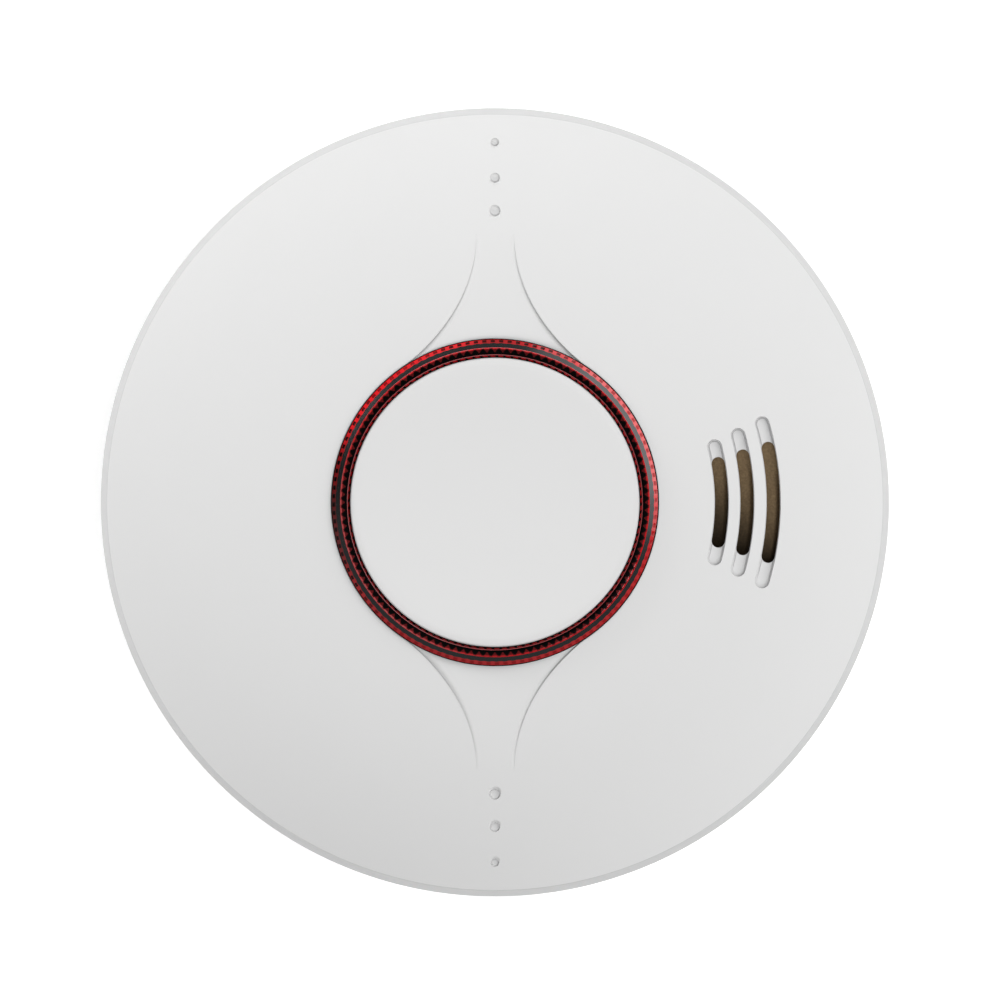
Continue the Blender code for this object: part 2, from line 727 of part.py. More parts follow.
def make_optic(name, angle):
    """An emitter or receiver inside the chamber, aimed at the middle of it."""
    section = [(0.0, 0.0), (1.9, 0.0), (1.9, 0.8), (1.5, 0.8), (1.5, 3.6), (0.9, 4.5), (0.0, 4.7)]
    optic = turned(name, section, TINY)
    centre_x, centre_y = polar(10.3, angle, (CHAMBER_X, 0.0))
    aim = Vector((CHAMBER_X - centre_x, -centre_y, 0.0)).normalized()
    turn = Vector((0.0, 0.0, 1.0)).rotation_difference(aim).to_matrix().to_4x4()
    optic.data.transform(turn)
    for vertex in optic.data.vertices:
        vertex.co += Vector((centre_x, centre_y, 23.6)) * MM
    return optic


# ---- Sounder ----


def make_sounder_housing():
    """The cup behind the disc, with a ledge for the disc and a notch for its leads."""
    section = [(0.0, SEAT), (SOUNDER_RADIUS, SEAT), (SOUNDER_RADIUS, SOUNDER_TOP)]
    section += [(SOUNDER_BORE, SOUNDER_TOP), (SOUNDER_BORE, 24.1), (8.0, 24.1), (8.0, SEAT + 1.0)]
    section.append((0.0, SEAT + 1.0))
    cup = turned("sounder_housing", section, MEDIUM, (SOUNDER_X, 0.0))
    return carve(cup, box("notch", (SOUNDER_X - 12.0, -3.8, 20.3), (SOUNDER_X - 6.0, 3.8, 22.6)))


def make_sounder_parts():
    """The brass disc, the ceramic under it and the foam ring between cup and collar."""
    centre = (SOUNDER_X, 0.0)
    disc = rod("piezo_disc", 8.9, 24.4, 24.6, centre, MEDIUM)
    ceramic = rod("piezo_ceramic", 6.2, 23.85, 24.1, centre, MEDIUM)
    section = [(9.3, 25.2), (SOUNDER_RADIUS, 25.2), (SOUNDER_RADIUS, 25.6), (9.3, 25.6)]
    return disc, ceramic, turned("sounder_gasket", section, MEDIUM, centre)


def make_piezo_lead(name, side):
    """A lead from the disc's underside, out through the cup's notch and down to the board."""
    route = [(28.6, 2.4, 23.4), (27.9, 2.4, 22.4), (26.6, 2.4, 21.7), (24.6, 2.5, 21.4)]
    route += [(22.6, 2.9, 21.2), (21.4, 3.7, 20.6), (21.0, 4.4, 19.8), (21.0, 4.5, 18.9)]
    return tube(name, [(x, side * y, z) for x, y, z in route], 0.45, 6)


def make_dust_screen():
    """The thin woven screen bonded under the slots, which follows the inside of the dome."""
    columns = 8
    rows = ((27.6, 11.4), (30.0, 12.8), (32.7, 13.6), (35.4, 13.6), (38.0, 12.2))
    thickness = 0.3
    bm = bmesh.new()
    layers = []
    for drop in (0.0, thickness):
        layer = []
        for radius, half_angle in rows:
            height = dome(radius) - SHELL - GAP - drop
            row = arc(radius, -half_angle, half_angle, columns)
            layer.append([bm.verts.new((x, y, height)) for x, y in row])
        layers.append(layer)
    upper, lower = layers
    last = len(rows) - 1
    for row in range(last):
        for column in range(columns):
            for layer in layers:
                near = (layer[row][column], layer[row][column + 1])
                bm.faces.new((*near, layer[row + 1][column + 1], layer[row + 1][column]))
    for row in (0, last):
        for column in range(columns):
            above = (upper[row][column], upper[row][column + 1])
            bm.faces.new((*above, lower[row][column + 1], lower[row][column]))
    for column in (0, columns):
        for row in range(last):
            above = (upper[row][column], upper[row + 1][column])
            bm.faces.new((*above, lower[row + 1][column], lower[row][column]))
    return add_object("sounder_dust_screen", bm)


# ---- Assembly ----


def build():
    clear_scene()
    bracket = empty("bracket_body", (0.0, 0.0, 0.0))
    detector = empty("detector_axis", (0.0, 0.0, 0.0), bracket)
    button = empty("button_axis", (0.0, 0.0, BUTTON_TOP), detector)
    plunger_axis = empty("plunger_axis", (BUTTON_POST_X, 0.0, SWITCH_TOP), detector)
    door_axis = empty("door_axis", (0.0, HINGE_Y, HINGE_Z), detector)

    place_piece(make_bracket(), "bracket_abs", bracket)

    place_piece(make_rear_housing(), "white_abs", detector)
    place_piece(make_battery_door(), "white_abs", door_axis)
    for number, side in ((1, 1), (2, -1)):
        place_piece(make_cell(f"battery_{number}", side), "cell_sleeve", detector)
        place_piece(make_spring(f"battery_spring_{number}", side), "zinc_steel", detector)
    for plate in make_contacts():
        place_piece(plate, "zinc_steel", detector)

    place_piece(make_inlet_grille(), "white_abs", detector)
    place_piece(make_front_cover(), "white_abs", detector)
    place_piece(make_ring_lens(), "red_lens", detector)
    place_piece(make_ring_retainer(), "black_abs", detector)
    place_piece(make_test_button(), "white_abs", button)

    place_piece(make_main_board(), "board_laminate", detector)
    body, plunger = make_switch()
    place_piece(body, "black_abs", detector)
    place_piece(plunger, "black_abs", plunger_axis)
    for number, side in ((1, 1), (2, -1)):
        place_piece(make_ring_led(f"ring_led_{number}", side), "clear_epoxy", detector)
    chip = box("microcontroller", (11.0, -29.0, SEAT), (18.0, -22.0, SEAT + 1.1))
    place_piece(chip, "chip_epoxy", detector)
    place_piece(make_capacitor(), "capacitor_can", detector)
    place_piece(make_boost_inductor(), "chip_epoxy", detector)

    place_piece(make_chamber_base(), "black_abs", detector)
    place_piece(make_chamber_cap(), "black_abs", detector)
    place_piece(make_insect_screen(), "zinc_steel", detector)
    place_piece(make_optic("ir_emitter", 205.0), "clear_epoxy", detector)
    place_piece(make_optic("photodiode", 335.0), "chip_epoxy", detector)

    place_piece(make_sounder_housing(), "black_abs", detector)
    disc, ceramic, gasket = make_sounder_parts()
    place_piece(disc, "piezo_brass", detector)
    place_piece(ceramic, "piezo_ceramic", detector)
    place_piece(gasket, "foam", detector)
    place_piece(make_piezo_lead("piezo_lead_red", 1), "red_wire", detector)
    place_piece(make_piezo_lead("piezo_lead_black", -1), "black_abs", detector)
    place_piece(make_dust_screen(), "bronze_screen", detector)

    for number, angle in enumerate(BOSS_ANGLES, start=1):
        place = polar(HOUSING_BOSS_RADIUS, angle)
        seat = SCREW_SEAT - GAP
        long_screw = make_screw(f"housing_screw_{number}", place, seat, 1, 2.4, 1.6, 1.1, 19.5)
        place_piece(long_screw, "zinc_steel", detector)
        place = polar(BOARD_BOSS_RADIUS, angle)
        short_screw = make_screw(f"board_screw_{number}", place, SEAT, -1, 2.1, 1.4, 0.95, 9.5)
        place_piece(short_screw, "zinc_steel", detector)


build()
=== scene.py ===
import json
import math

import bmesh
import bpy
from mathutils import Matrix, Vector
from mathutils.geometry import tessellate_polygon


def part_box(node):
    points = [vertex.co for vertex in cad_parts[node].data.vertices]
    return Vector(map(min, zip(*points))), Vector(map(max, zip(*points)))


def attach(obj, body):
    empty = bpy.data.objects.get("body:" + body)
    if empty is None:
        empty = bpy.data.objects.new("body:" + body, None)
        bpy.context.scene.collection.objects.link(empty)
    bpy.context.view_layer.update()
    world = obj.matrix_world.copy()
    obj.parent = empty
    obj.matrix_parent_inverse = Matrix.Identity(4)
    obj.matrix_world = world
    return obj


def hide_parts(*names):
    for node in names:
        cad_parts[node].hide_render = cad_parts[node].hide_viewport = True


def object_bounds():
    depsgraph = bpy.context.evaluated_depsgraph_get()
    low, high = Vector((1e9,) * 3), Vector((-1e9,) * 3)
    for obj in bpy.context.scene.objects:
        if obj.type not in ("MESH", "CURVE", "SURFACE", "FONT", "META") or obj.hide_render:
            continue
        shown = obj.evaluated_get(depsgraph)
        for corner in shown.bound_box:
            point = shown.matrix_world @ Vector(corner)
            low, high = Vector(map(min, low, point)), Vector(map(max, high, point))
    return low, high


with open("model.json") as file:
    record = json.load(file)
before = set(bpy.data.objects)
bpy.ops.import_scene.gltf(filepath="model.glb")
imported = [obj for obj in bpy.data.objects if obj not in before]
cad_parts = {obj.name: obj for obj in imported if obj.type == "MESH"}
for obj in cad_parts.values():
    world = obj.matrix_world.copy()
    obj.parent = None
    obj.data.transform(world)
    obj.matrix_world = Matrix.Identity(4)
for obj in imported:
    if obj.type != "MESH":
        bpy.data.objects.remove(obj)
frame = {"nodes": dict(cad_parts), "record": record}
cad_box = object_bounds()

MM = 0.001
METRES_TO_MM = 1000.0


def box_mm(node):
    """A CAD node's lowest and highest corners at rest, in millimetres."""
    low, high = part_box(node)
    return Vector(low) * METRES_TO_MM, Vector(high) * METRES_TO_MM


# ---- Sizes, in millimetres and degrees, from the CAD boxes and the driving dimensions ----

cover_low, cover_high = box_mm("front_cover")
housing_low, housing_high = box_mm("rear_housing")
grille_low, grille_high = box_mm("inlet_grille")
lens_high = box_mm("ring_lens")[1]
button_low, button_high = box_mm("test_button")
bracket_high = box_mm("mounting_bracket")[1]

RIM_RADIUS = cover_high.x
RIM_BOTTOM = cover_low.z + 0.1
DOME_RADIUS = RIM_RADIUS - 0.9
DOME_EDGE = RIM_BOTTOM + 4.2
DOME_RISE = 9.73
DOME_POWER = 3.0
SHELL = 2.0
COVER_HOLE = 21.1
ABOVE_ALL = 45.0  # cutters end at this height, clear of the whole alarm

STRIP_TIP = 34.6  # each strip widens from its tip to its root at the light ring
STRIP_TIP_HALF_WIDTH = 2.5
STRIP_FLARE = (0.0275, 1.4e-5)  # growth of the half width with the distance squared and to the fourth
STRIP_ROOT = 17.6
STRIP_DEPTH = 0.3
STRIP_TILT = 0.65  # the share by which the +X edge lies deeper and the -X edge less deep
GROOVE_DEPTH = 0.22
GROOVE_WIDTH = 0.12

DIMPLES = ((37.6, 0.73), (41.86, 0.66), (46.5, 0.55))  # distance from the centre, radius
DIMPLE_DEPTHS = {1: 0.42, -1: 0.55}  # at +Y and at -Y

# Centre line radius, half angle of the channel, half angle of the slot through it
SLOTS = ((29.2, 14.2, 9.8), (32.5, 15.4, 10.55), (35.9, 16.4, 11.15))
RECESS_WIDTH = 1.87
RECESS_DEPTH = 0.85
MOAT_DEPTH = 0.21  # a channel's floor is this much lower along its wall
SLOT_WIDTH = 1.71
SEAT_DEPTH = 1.45  # the cover is this thick over the dust screen
SEAT_RADII = (27.6, 37.6)
SEAT_HALF_ANGLE = 16.0
SCREEN_SAG = (0.1, 3.9)  # from the seat down to the screen, at the slots' +Y and -Y ends
PLEAT_DEPTH = 1.0  # the screen folds down along the outer edge of each slot
PLEAT_WIDTH = 0.6

LENS_OUTER = 21.04
LENS_INNER = 18.69
LENS_TOP = lens_high.z - 0.2
PRISMS = 120
BUTTON_RADIUS = 18.61
BUTTON_TOP = button_high.z

BACK = housing_low.z
BACK_WALL = 2.0
HOUSING_RADIUS = housing_high.x
HOUSING_BOSS_RADIUS = 42.2
BOARD_BOSS_RADIUS = 33.0
BOSS_ANGLES = (90.0, 210.0, 330.0)
SCREW_SEAT = 5.4  # where the long screws' heads bear on the housing
WELL_HALF_LENGTH = 25.0
WELL_HALF_WIDTH = 11.8
WELL_WALL = 1.2
WELL_CEILING = 15.7
WELL_TOP = 16.6
DOOR_THICKNESS = 1.6
DOOR_HALF_LENGTH = 25.2
DOOR_FREE_EDGE = -12.2
HINGE_Y = 11.4
HINGE_Z = BACK + DOOR_THICKNESS / 2
FINS = 96
GRILLE_INNER = 45.5
BRACKET_RADIUS = bracket_high.x
BRACKET_OPENING = 30.5
BRACKET_PLATE = 2.0
HOOK_ANGLES = (30.0, 150.0, 270.0)
HOOK_HALF_ANGLE = 7.0
HOOK_INNER = 31.2
HOOK_LEG = 33.2
HOOK_OUTER = 36.0
HOOK_BOTTOM = 5.4
HOOK_TOP = bracket_high.z
TWIST = 15.0
GAP = 0.3

# Facets round the largest pieces
FINE = 288
ROUND = 128


# ---- Outlines ----


def polar(radius, angle, centre=(0.0, 0.0)):
    turn = math.radians(angle)
    return centre[0] + radius * math.cos(turn), centre[1] + radius * math.sin(turn)


def arc(radius, start, end, steps, centre=(0.0, 0.0)):
    return [polar(radius, start + (end - start) * i / steps, centre) for i in range(steps + 1)]


def arc_slot(radius, half_angle, width, middle=0.0, steps=24, end_steps=12):
    """A slot bent round the origin, with half-round ends centred at the half angle."""
    half = width / 2
    low = middle - half_angle
    high = middle + half_angle
    outline = arc(radius + half, low, high, steps)
    outline += arc(half, high, high + 180, end_steps, polar(radius, high))[1:-1]
    outline += arc(radius - half, high, low, steps)
    outline += arc(half, low + 180, low + 360, end_steps, polar(radius, low))[1:-1]
    return outline


def arc_slot_caps(steps=24, end_steps=12):
    """The faces that fill an arc_slot: quads across its length and one face in each round end."""
    far = steps + end_steps + steps
    caps = [(i, i + 1, far - i - 1, far - i) for i in range(steps)]
    caps.append(tuple(range(steps, steps + end_steps + 1)))
    caps.append(tuple(range(far, far + end_steps)) + (0,))
    return caps


def rectangle(low_x, high_x, low_y, high_y):
    return [(low_x, low_y), (high_x, low_y), (high_x, high_y), (low_x, high_y)]


def rounded(profile, radius, steps=4):
    """A closed (radius, height) profile with every corner off the axis rounded."""
    result = []
    count = len(profile)
    for i, point in enumerate(profile):
        corner = Vector(point)
        before = Vector(profile[i - 1]) - corner
        after = Vector(profile[(i + 1) % count]) - corner
        reach = min(radius, before.length * 0.45, after.length * 0.45)
        if point[0] == 0 or reach < 1e-4:
            result.append(point)
            continue
        start = corner + before.normalized() * reach
        end = corner + after.normalized() * reach
        for k in range(steps + 1):
            t = k / steps
            curve = start * (1 - t) ** 2 + corner * 2 * t * (1 - t) + end * t * t
            result.append((curve.x, curve.y))
    return result


# ---- Solids ----


def add_object(name, bm, sharp=30.0):
    """Turns a closed bmesh in millimetres into a smooth-shaded object in metres."""
    bmesh.ops.recalc_face_normals(bm, faces=bm.faces)
    bmesh.ops.scale(bm, vec=(MM, MM, MM), verts=bm.verts)
    mesh = bpy.data.meshes.new(name)
    bm.to_mesh(mesh)
    bm.free()
    mesh.shade_smooth()
    mesh.set_sharp_from_angle(angle=math.radians(sharp))
    obj = bpy.data.objects.new(name, mesh)
    bpy.context.scene.collection.objects.link(obj)
    return obj


def prism(name, outline, bottom, top, holes=(), along="z"):
    """A straight-sided solid. Along x, the outline's corners are (y, z) and it runs in X."""
    loops = [outline, *holes]
    corners = [corner for loop in loops for corner in loop]
    bm = bmesh.new()
    ends = []
    for level in (bottom, top):
        places = [(level, a, b) if along == "x" else (a, b, level) for a, b in corners]
        ends.append([bm.verts.new(place) for place in places])
    low, high = ends
    for triangle in tessellate_polygon([[Vector((a, b, 0.0)) for a, b in loop] for loop in loops]):
        bm.faces.new([high[i] for i in triangle])
        bm.faces.new([low[i] for i in reversed(triangle)])
    first = 0
    for loop in loops:
        count = len(loop)
        for i in range(count):
            here = first + i
            after = first + (i + 1) % count
            bm.faces.new((low[here], low[after], high[after], high[here]))
        first += count
    return add_object(name, bm)


def box(name, low, high):
    return prism(name, rectangle(low[0], high[0], low[1], high[1]), low[2], high[2])


def loft(name, loops, caps=None):
    """A solid through loops of equally many (x, y, z) corners. Each cap is a list of faces,
    given as places in a loop, and closes both ends. Without caps, one face closes each end."""
    bm = bmesh.new()
    rings = [[bm.verts.new(place) for place in loop] for loop in loops]
    for lower, upper in zip(rings, rings[1:]):
        for i in range(len(lower)):
            after = (i + 1) % len(lower)
            bm.faces.new((lower[i], lower[after], upper[after], upper[i]))
    for cap in caps or [range(len(rings[0]))]:
        bm.faces.new([rings[0][i] for i in reversed(cap)])
        bm.faces.new([rings[-1][i] for i in cap])
    return add_object(name, bm)


def turned(name, profile, facets, centre=(0.0, 0.0), along="z", start=None, end=None):
    """A solid turned from a closed (radius, height) section, all round or from start to end.

    Along x, the height is measured in X and the centre is a (y, z) place.
    """
    whole = start is None
    first = 0.0 if whole else start
    sweep = 360.0 if whole else end - start
    count = facets if whole else facets + 1
    bm = bmesh.new()
    rings = []
    for radius, height in profile:
        places = [polar(radius, first + sweep * i / facets, centre) for i in range(count)]
        if radius == 0:
            places = places[:1]
        if along == "x":
            rings.append([bm.verts.new((height, a, b)) for a, b in places])
        else:
            rings.append([bm.verts.new((a, b, height)) for a, b in places])
    for lower, upper in zip(rings, rings[1:] + rings[:1]):
        if len(lower) == len(upper) == 1:
            continue
        for i in range(facets):
            after = (i + 1) % count
            corners = [lower[i % len(lower)], lower[after % len(lower)]]
            corners += [upper[after % len(upper)], upper[i % len(upper)]]
            bm.faces.new(list(dict.fromkeys(corners)))
    if not whole:
        bm.faces.new([ring[0] for ring in rings])
        bm.faces.new([ring[-1] for ring in reversed(rings)])
    return add_object(name, bm)


def rod(name, radius, bottom, top, centre, facets=32, along="z"):
    profile = [(0.0, bottom), (radius, bottom), (radius, top), (0.0, top)]
    return turned(name, profile, facets, centre, along)


def boolean(target, operation, tools, sharp=30.0):
    """Applies one Boolean after another to the target and removes the tools."""
    for tool in tools:
        modifier = target.modifiers.new(tool.name, "BOOLEAN")
        modifier.operation = operation
        modifier.solver = "EXACT"
        modifier.object = tool
    bpy.context.view_layer.update()
    evaluated = target.evaluated_get(bpy.context.evaluated_depsgraph_get())
    target.data = bpy.data.meshes.new_from_object(evaluated)
    target.modifiers.clear()
    for tool in tools:
        bpy.data.objects.remove(tool)
    target.data.shade_smooth()
    target.data.set_sharp_from_angle(angle=math.radians(sharp))
    return target


def merge(target, *tools):
    return boolean(target, "UNION", tools)


def carve(target, *tools):
    return boolean(target, "DIFFERENCE", tools)


def soften(obj, width, segments=2):
    """Bevels a piece's sharp edges by up to the given width in millimetres.

    Blender holds the bevel back to suit a piece's shortest edges. The door's edges come out
    round, and those of the bracket, the housing and the grille stay sharp.
    """
    bevel = obj.modifiers.new("soft_edges", "BEVEL")
    bevel.width = width * MM
    bevel.segments = segments
    bevel.limit_method = "ANGLE"
    bevel.angle_limit = math.radians(40)
    bevel.harden_normals = True
    return obj


# ---- Materials ----


def surface(name, colour, roughness, metallic=0.0, variation=0.03, blotch=6.0, grain=0.35,
            grain_height=0.004, coat=0.0, scuff=0.04, specular=0.5):
    """A moulded or rolled surface: blotches of colour and roughness, and a fine grain.

    blotch and grain are feature sizes and grain_height is a depth, all in millimetres.
    """
    made = bpy.data.materials.new(name)
    made.use_nodes = True
    nodes = made.node_tree.nodes
    links = made.node_tree.links
    shader = nodes["Principled BSDF"]
    shader.inputs["Metallic"].default_value = metallic
    shader.inputs["Coat Weight"].default_value = coat
    shader.inputs["Specular IOR Level"].default_value = specular
    place = nodes.new("ShaderNodeTexCoord")

    blotches = nodes.new("ShaderNodeTexNoise")
    blotches.inputs["Scale"].default_value = METRES_TO_MM / blotch
    blotches.inputs["Detail"].default_value = 4.0
    links.new(place.outputs["Object"], blotches.inputs["Vector"])

    tone = nodes.new("ShaderNodeMix")
    tone.data_type = "RGBA"
    tone.inputs["A"].default_value = (*[c * (1 - variation) for c in colour], 1.0)
    tone.inputs["B"].default_value = (*[min(1.0, c * (1 + variation)) for c in colour], 1.0)
    links.new(blotches.outputs["Fac"], tone.inputs["Factor"])
    links.new(tone.outputs["Result"], shader.inputs["Base Color"])

    shine = nodes.new("ShaderNodeMapRange")
    shine.inputs["To Min"].default_value = max(0.0, roughness - scuff)
    shine.inputs["To Max"].default_value = roughness + scuff
    links.new(blotches.outputs["Fac"], shine.inputs["Value"])
    links.new(shine.outputs["Result"], shader.inputs["Roughness"])

    grains = nodes.new("ShaderNodeTexNoise")
    grains.inputs["Scale"].default_value = METRES_TO_MM / grain
    grains.inputs["Detail"].default_value = 2.0
    links.new(place.outputs["Object"], grains.inputs["Vector"])
    relief = nodes.new("ShaderNodeBump")
    relief.inputs["Distance"].default_value = grain_height * MM
    links.new(grains.outputs["Fac"], relief.inputs["Height"])
    links.new(relief.outputs["Normal"], shader.inputs["Normal"])
    return made


WHITE_COLOUR = (0.728, 0.728, 0.726)
white_abs = surface("white_abs", WHITE_COLOUR, 0.58, variation=0.006, grain=0.3, grain_height=0.0025,
                    specular=0.15)
# Painted shade: the cover's white made darker for the rim.
rim_painted_shade = surface("white_abs_rim_painted_shade", (0.56, 0.56, 0.56), 0.5, variation=0.01, grain=0.3)
# Painted shade: the cover's white made darker for the floors of the channels and dimples.
recess_painted_shade = surface("white_abs_recess_painted_shade", (0.66, 0.66, 0.66), 0.5, variation=0.01, grain=0.3)
bracket_abs = surface("bracket_abs", (0.74, 0.74, 0.73), 0.55, variation=0.01, grain_height=0.008)
red_gloss = surface("red_lens", (0.42, 0.012, 0.016), 0.25, variation=0.15, blotch=1.5,
                    grain_height=0.001)
# Painted highlight: red made paler and pinker for the thin line, where its ridge catches the light.
red_line_painted_highlight = surface("red_lens_line_painted_highlight", (0.36, 0.06, 0.065), 0.25, variation=0.1, blotch=1.5,
                   grain_height=0.001)
red_deep = surface("red_lens_deep", (0.09, 0.006, 0.007), 0.5, variation=0.3, blotch=0.4, specular=0.05)
black_gloss = surface("ring_core_gloss", (0.002, 0.003, 0.003), 0.2, variation=0.2, grain_height=0.0,
                      specular=0.9)
black_gloss.node_tree.nodes["Principled BSDF"].inputs["IOR"].default_value = 1.55
black_deep = surface("ring_core_deep", (0.001, 0.001, 0.001), 0.6, variation=0.2, specular=0.03)
black_abs = surface("black_abs", (0.015, 0.015, 0.016), 0.5, variation=0.15)
# The screen's own colour; shade_screen paints shade over it.
felt_with_painted_shade = surface("bronze_screen", (0.19, 0.131, 0.071), 0.85, variation=0.5, blotch=0.3, grain=0.12,
                      grain_height=0.04, scuff=0.1, specular=0.2)
steel = surface("zinc_steel", (0.55, 0.56, 0.58), 0.32, metallic=1.0, variation=0.08, blotch=2.0, scuff=0.1)
laminate = surface("board_laminate", (0.02, 0.16, 0.05), 0.35, variation=0.15, blotch=4.0)
brass = surface("piezo_brass", (0.55, 0.38, 0.16), 0.4, metallic=1.0, variation=0.15)
ceramic = surface("piezo_ceramic", (0.62, 0.58, 0.50), 0.6, variation=0.06)
foam = surface("foam", (0.03, 0.03, 0.03), 0.95, variation=0.3, grain=0.3, grain_height=0.06)
sleeve = surface("cell_sleeve", (0.05, 0.07, 0.12), 0.3, variation=0.1, coat=0.3)
can = surface("capacitor_can", (0.05, 0.07, 0.12), 0.3, variation=0.1, coat=0.3)
epoxy = surface("chip_epoxy", (0.012, 0.012, 0.013), 0.55, variation=0.2)
clear = surface("clear_epoxy", (0.75, 0.72, 0.66), 0.12, variation=0.03)
red_pvc = surface("red_wire", (0.5, 0.01, 0.01), 0.45, variation=0.08)


def shade_screen(material):
    """Paints shade on the screen: darker at its -Y end, and more so nearer the centre."""
    nodes = material.node_tree.nodes
    links = material.node_tree.links
    shader = nodes["Principled BSDF"]
    unshaded = shader.inputs["Base Color"].links[0].from_socket
    place = nodes.new("ShaderNodeTexCoord")
    along = nodes.new("ShaderNodeVectorMath")
    along.operation = "DOT_PRODUCT"
    along.inputs[1].default_value = (0.6, 1.0, 0.0)
    links.new(place.outputs["Object"], along.inputs[0])
    # Painted shade: the colour falls to a quarter where 0.6 x + y is small.
    painted_shade = nodes.new("ShaderNodeMapRange")
    painted_shade.interpolation_type = "SMOOTHSTEP"
    painted_shade.inputs["From Min"].default_value = 13.2 * MM
    painted_shade.inputs["From Max"].default_value = 21.3 * MM
    painted_shade.inputs["To Min"].default_value = 0.25
    painted_shade.inputs["To Max"].default_value = 1.0
    links.new(along.outputs["Value"], painted_shade.inputs["Value"])
    tone = nodes.new("ShaderNodeMix")
    tone.data_type = "RGBA"
    tone.blend_type = "MULTIPLY"
    tone.inputs["Factor"].default_value = 1.0
    links.new(unshaded, tone.inputs["A"])
    links.new(painted_shade.outputs["Result"], tone.inputs["B"])
    links.new(tone.outputs["Result"], shader.inputs["Base Color"])


shade_screen(felt_with_painted_shade)

SLOT_MATERIALS = {
    "white_abs": white_abs,
    "bracket_abs": bracket_abs,
    "red_lens": red_gloss,
    "black_abs": black_abs,
    "bronze_screen": felt_with_painted_shade,
    "zinc_steel": steel,
    "board_laminate": laminate,
    "piezo_brass": brass,
    "piezo_ceramic": ceramic,
    "foam": foam,
    "cell_sleeve": sleeve,
    "capacitor_can": can,
    "chip_epoxy": epoxy,
    "clear_epoxy": clear,
    "red_wire": red_pvc,
}


def finish_cad_nodes():
    """Gives every CAD node that stays its slot's material."""
    for part in frame["record"]["subparts"]:
        node = frame["nodes"][part["node"]]
        node.data.materials.clear()
        node.data.materials.append(SLOT_MATERIALS[part["material_slot"]])


def stand_for(piece, node, body, slot, *materials):
    """Makes a piece stand for a CAD node, ride on its body and take its finish."""
    for material in materials or (SLOT_MATERIALS[slot],):
        piece.data.materials.append(material)
    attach(piece, body)
    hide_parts(node)
    return piece


# ---- Front cover ----


def dome(radius):
    return DOME_EDGE + DOME_RISE * (1.0 - (radius / DOME_RADIUS) ** DOME_POWER)


def strip_half_width(y):
    """Half the strip's width at a distance y from the centre. Past the root it is the hole's."""
    if y < STRIP_ROOT:
        return math.sqrt((COVER_HOLE - 0.05) ** 2 - y * y)
    along = STRIP_TIP - y
    return STRIP_TIP_HALF_WIDTH + STRIP_FLARE[0] * along**2 + STRIP_FLARE[1] * along**4


def strip_depth(x, y):
    """How far the strip lies under the dome: it fades to nothing at the tip, with a groove
    along each edge."""
    share = (y - STRIP_ROOT) / (STRIP_TIP - STRIP_ROOT)
    fade = 1.0 - max(share, 0.0)
    half = strip_half_width(y)
    groove = min(1.0, max(0.0, 2.0 - (half - abs(x)) / GROOVE_WIDTH))
    tilt = 1.0 + STRIP_TILT * x / half
    return STRIP_DEPTH * fade * tilt + GROOVE_DEPTH * groove * max(0.0, fade) ** 0.55


def strip_cutter(side):
    """The solid that sinks one strip into the dome. side is 1 at +Y and -1 at -Y."""
    rows = 84
    low_y = 13.5
    high_y = STRIP_TIP + 0.5
    edge_steps = (0.0, 0.5, 1.0, 1.5, 2.0)
    middle_steps = 16
    bm = bmesh.new()
    grids = ([], [])
    for row in range(rows + 1):
        y = low_y + (high_y - low_y) * row / rows
        half = strip_half_width(y)
        left = [-half + step * GROOVE_WIDTH for step in edge_steps]
        inner = half - edge_steps[-1] * GROOVE_WIDTH
        middle = [-inner + 2 * inner * k / middle_steps for k in range(1, middle_steps)]
        columns = left + middle + [-x for x in reversed(left)]
        lower = [bm.verts.new((x, side * y, dome(math.hypot(x, y)) - strip_depth(x, y))) for x in columns]
        upper = [bm.verts.new((x, side * y, ABOVE_ALL)) for x in columns]
        grids[0].append(lower)
        grids[1].append(upper)
    last = len(grids[0][0]) - 1
    for grid in grids:
        for near, far in zip(grid, grid[1:]):
            for k in range(last):
                bm.faces.new((near[k], near[k + 1], far[k + 1], far[k]))
    lower, upper = grids
    for row in range(rows):
        for k in (0, last):
            bm.faces.new((lower[row][k], lower[row + 1][k], upper[row + 1][k], upper[row][k]))
    for row in (0, rows):
        for k in range(last):
            bm.faces.new((lower[row][k], lower[row][k + 1], upper[row][k + 1], upper[row][k]))
    return add_object("strip", bm)


def slot_cutter(name, radius, half_angle, width, levels, moat=0.0):
    """A bent slot through loops at (inset, height over the dome) from its floor to its mouth.

    Two loops along the wall lie deeper by the moat, which fades out towards the -Y end.
    """
    low_y = -polar(radius, half_angle)[1] - width / 2
    loops = []
    for inset, height in levels:
        in_moat = moat if 0.03 < inset < 0.2 else 0.0
        loop = []
        for x, y in arc_slot(radius, half_angle, width - 2 * inset):
            share = min(1.0, max(0.0, (y - low_y - 0.3) / 1.8))
            loop.append((x, y, dome(math.hypot(x, y)) + height - in_moat * share))
        loops.append(loop)
    return loft(name, loops, arc_slot_caps())


def sounder_cutters():
    """The channels, the slots through them and the thinned seat of the screen behind them."""
    floor = -RECESS_DEPTH
    channel = ((0.36, floor), (0.28, floor), (0.16, floor), (0.05, floor), (0.01, floor + 0.05))
    channel += ((0.0, -0.05), (-0.03, 0.02), (-0.03, 8.0))
    through = ((0.0, -8.0), (0.0, floor - 0.08), (-0.06, floor + 0.03), (-0.06, 8.0))
    cutters = []
    for radius, channel_angle, slot_angle in SLOTS:
        cutters.append(slot_cutter("channel", radius, channel_angle, RECESS_WIDTH, channel, MOAT_DEPTH))
        cutters.append(slot_cutter("slot", radius, slot_angle, SLOT_WIDTH, through))
    inner, outer = SEAT_RADII
    radii = [inner + (outer - inner) * i / 8 for i in range(9)]
    section = [(radius, dome(radius) - SEAT_DEPTH) for radius in radii] + [(outer, 26.0), (inner, 26.0)]
    cutters.append(turned("seat", section, 32, start=-SEAT_HALF_ANGLE, end=SEAT_HALF_ANGLE))
    return cutters


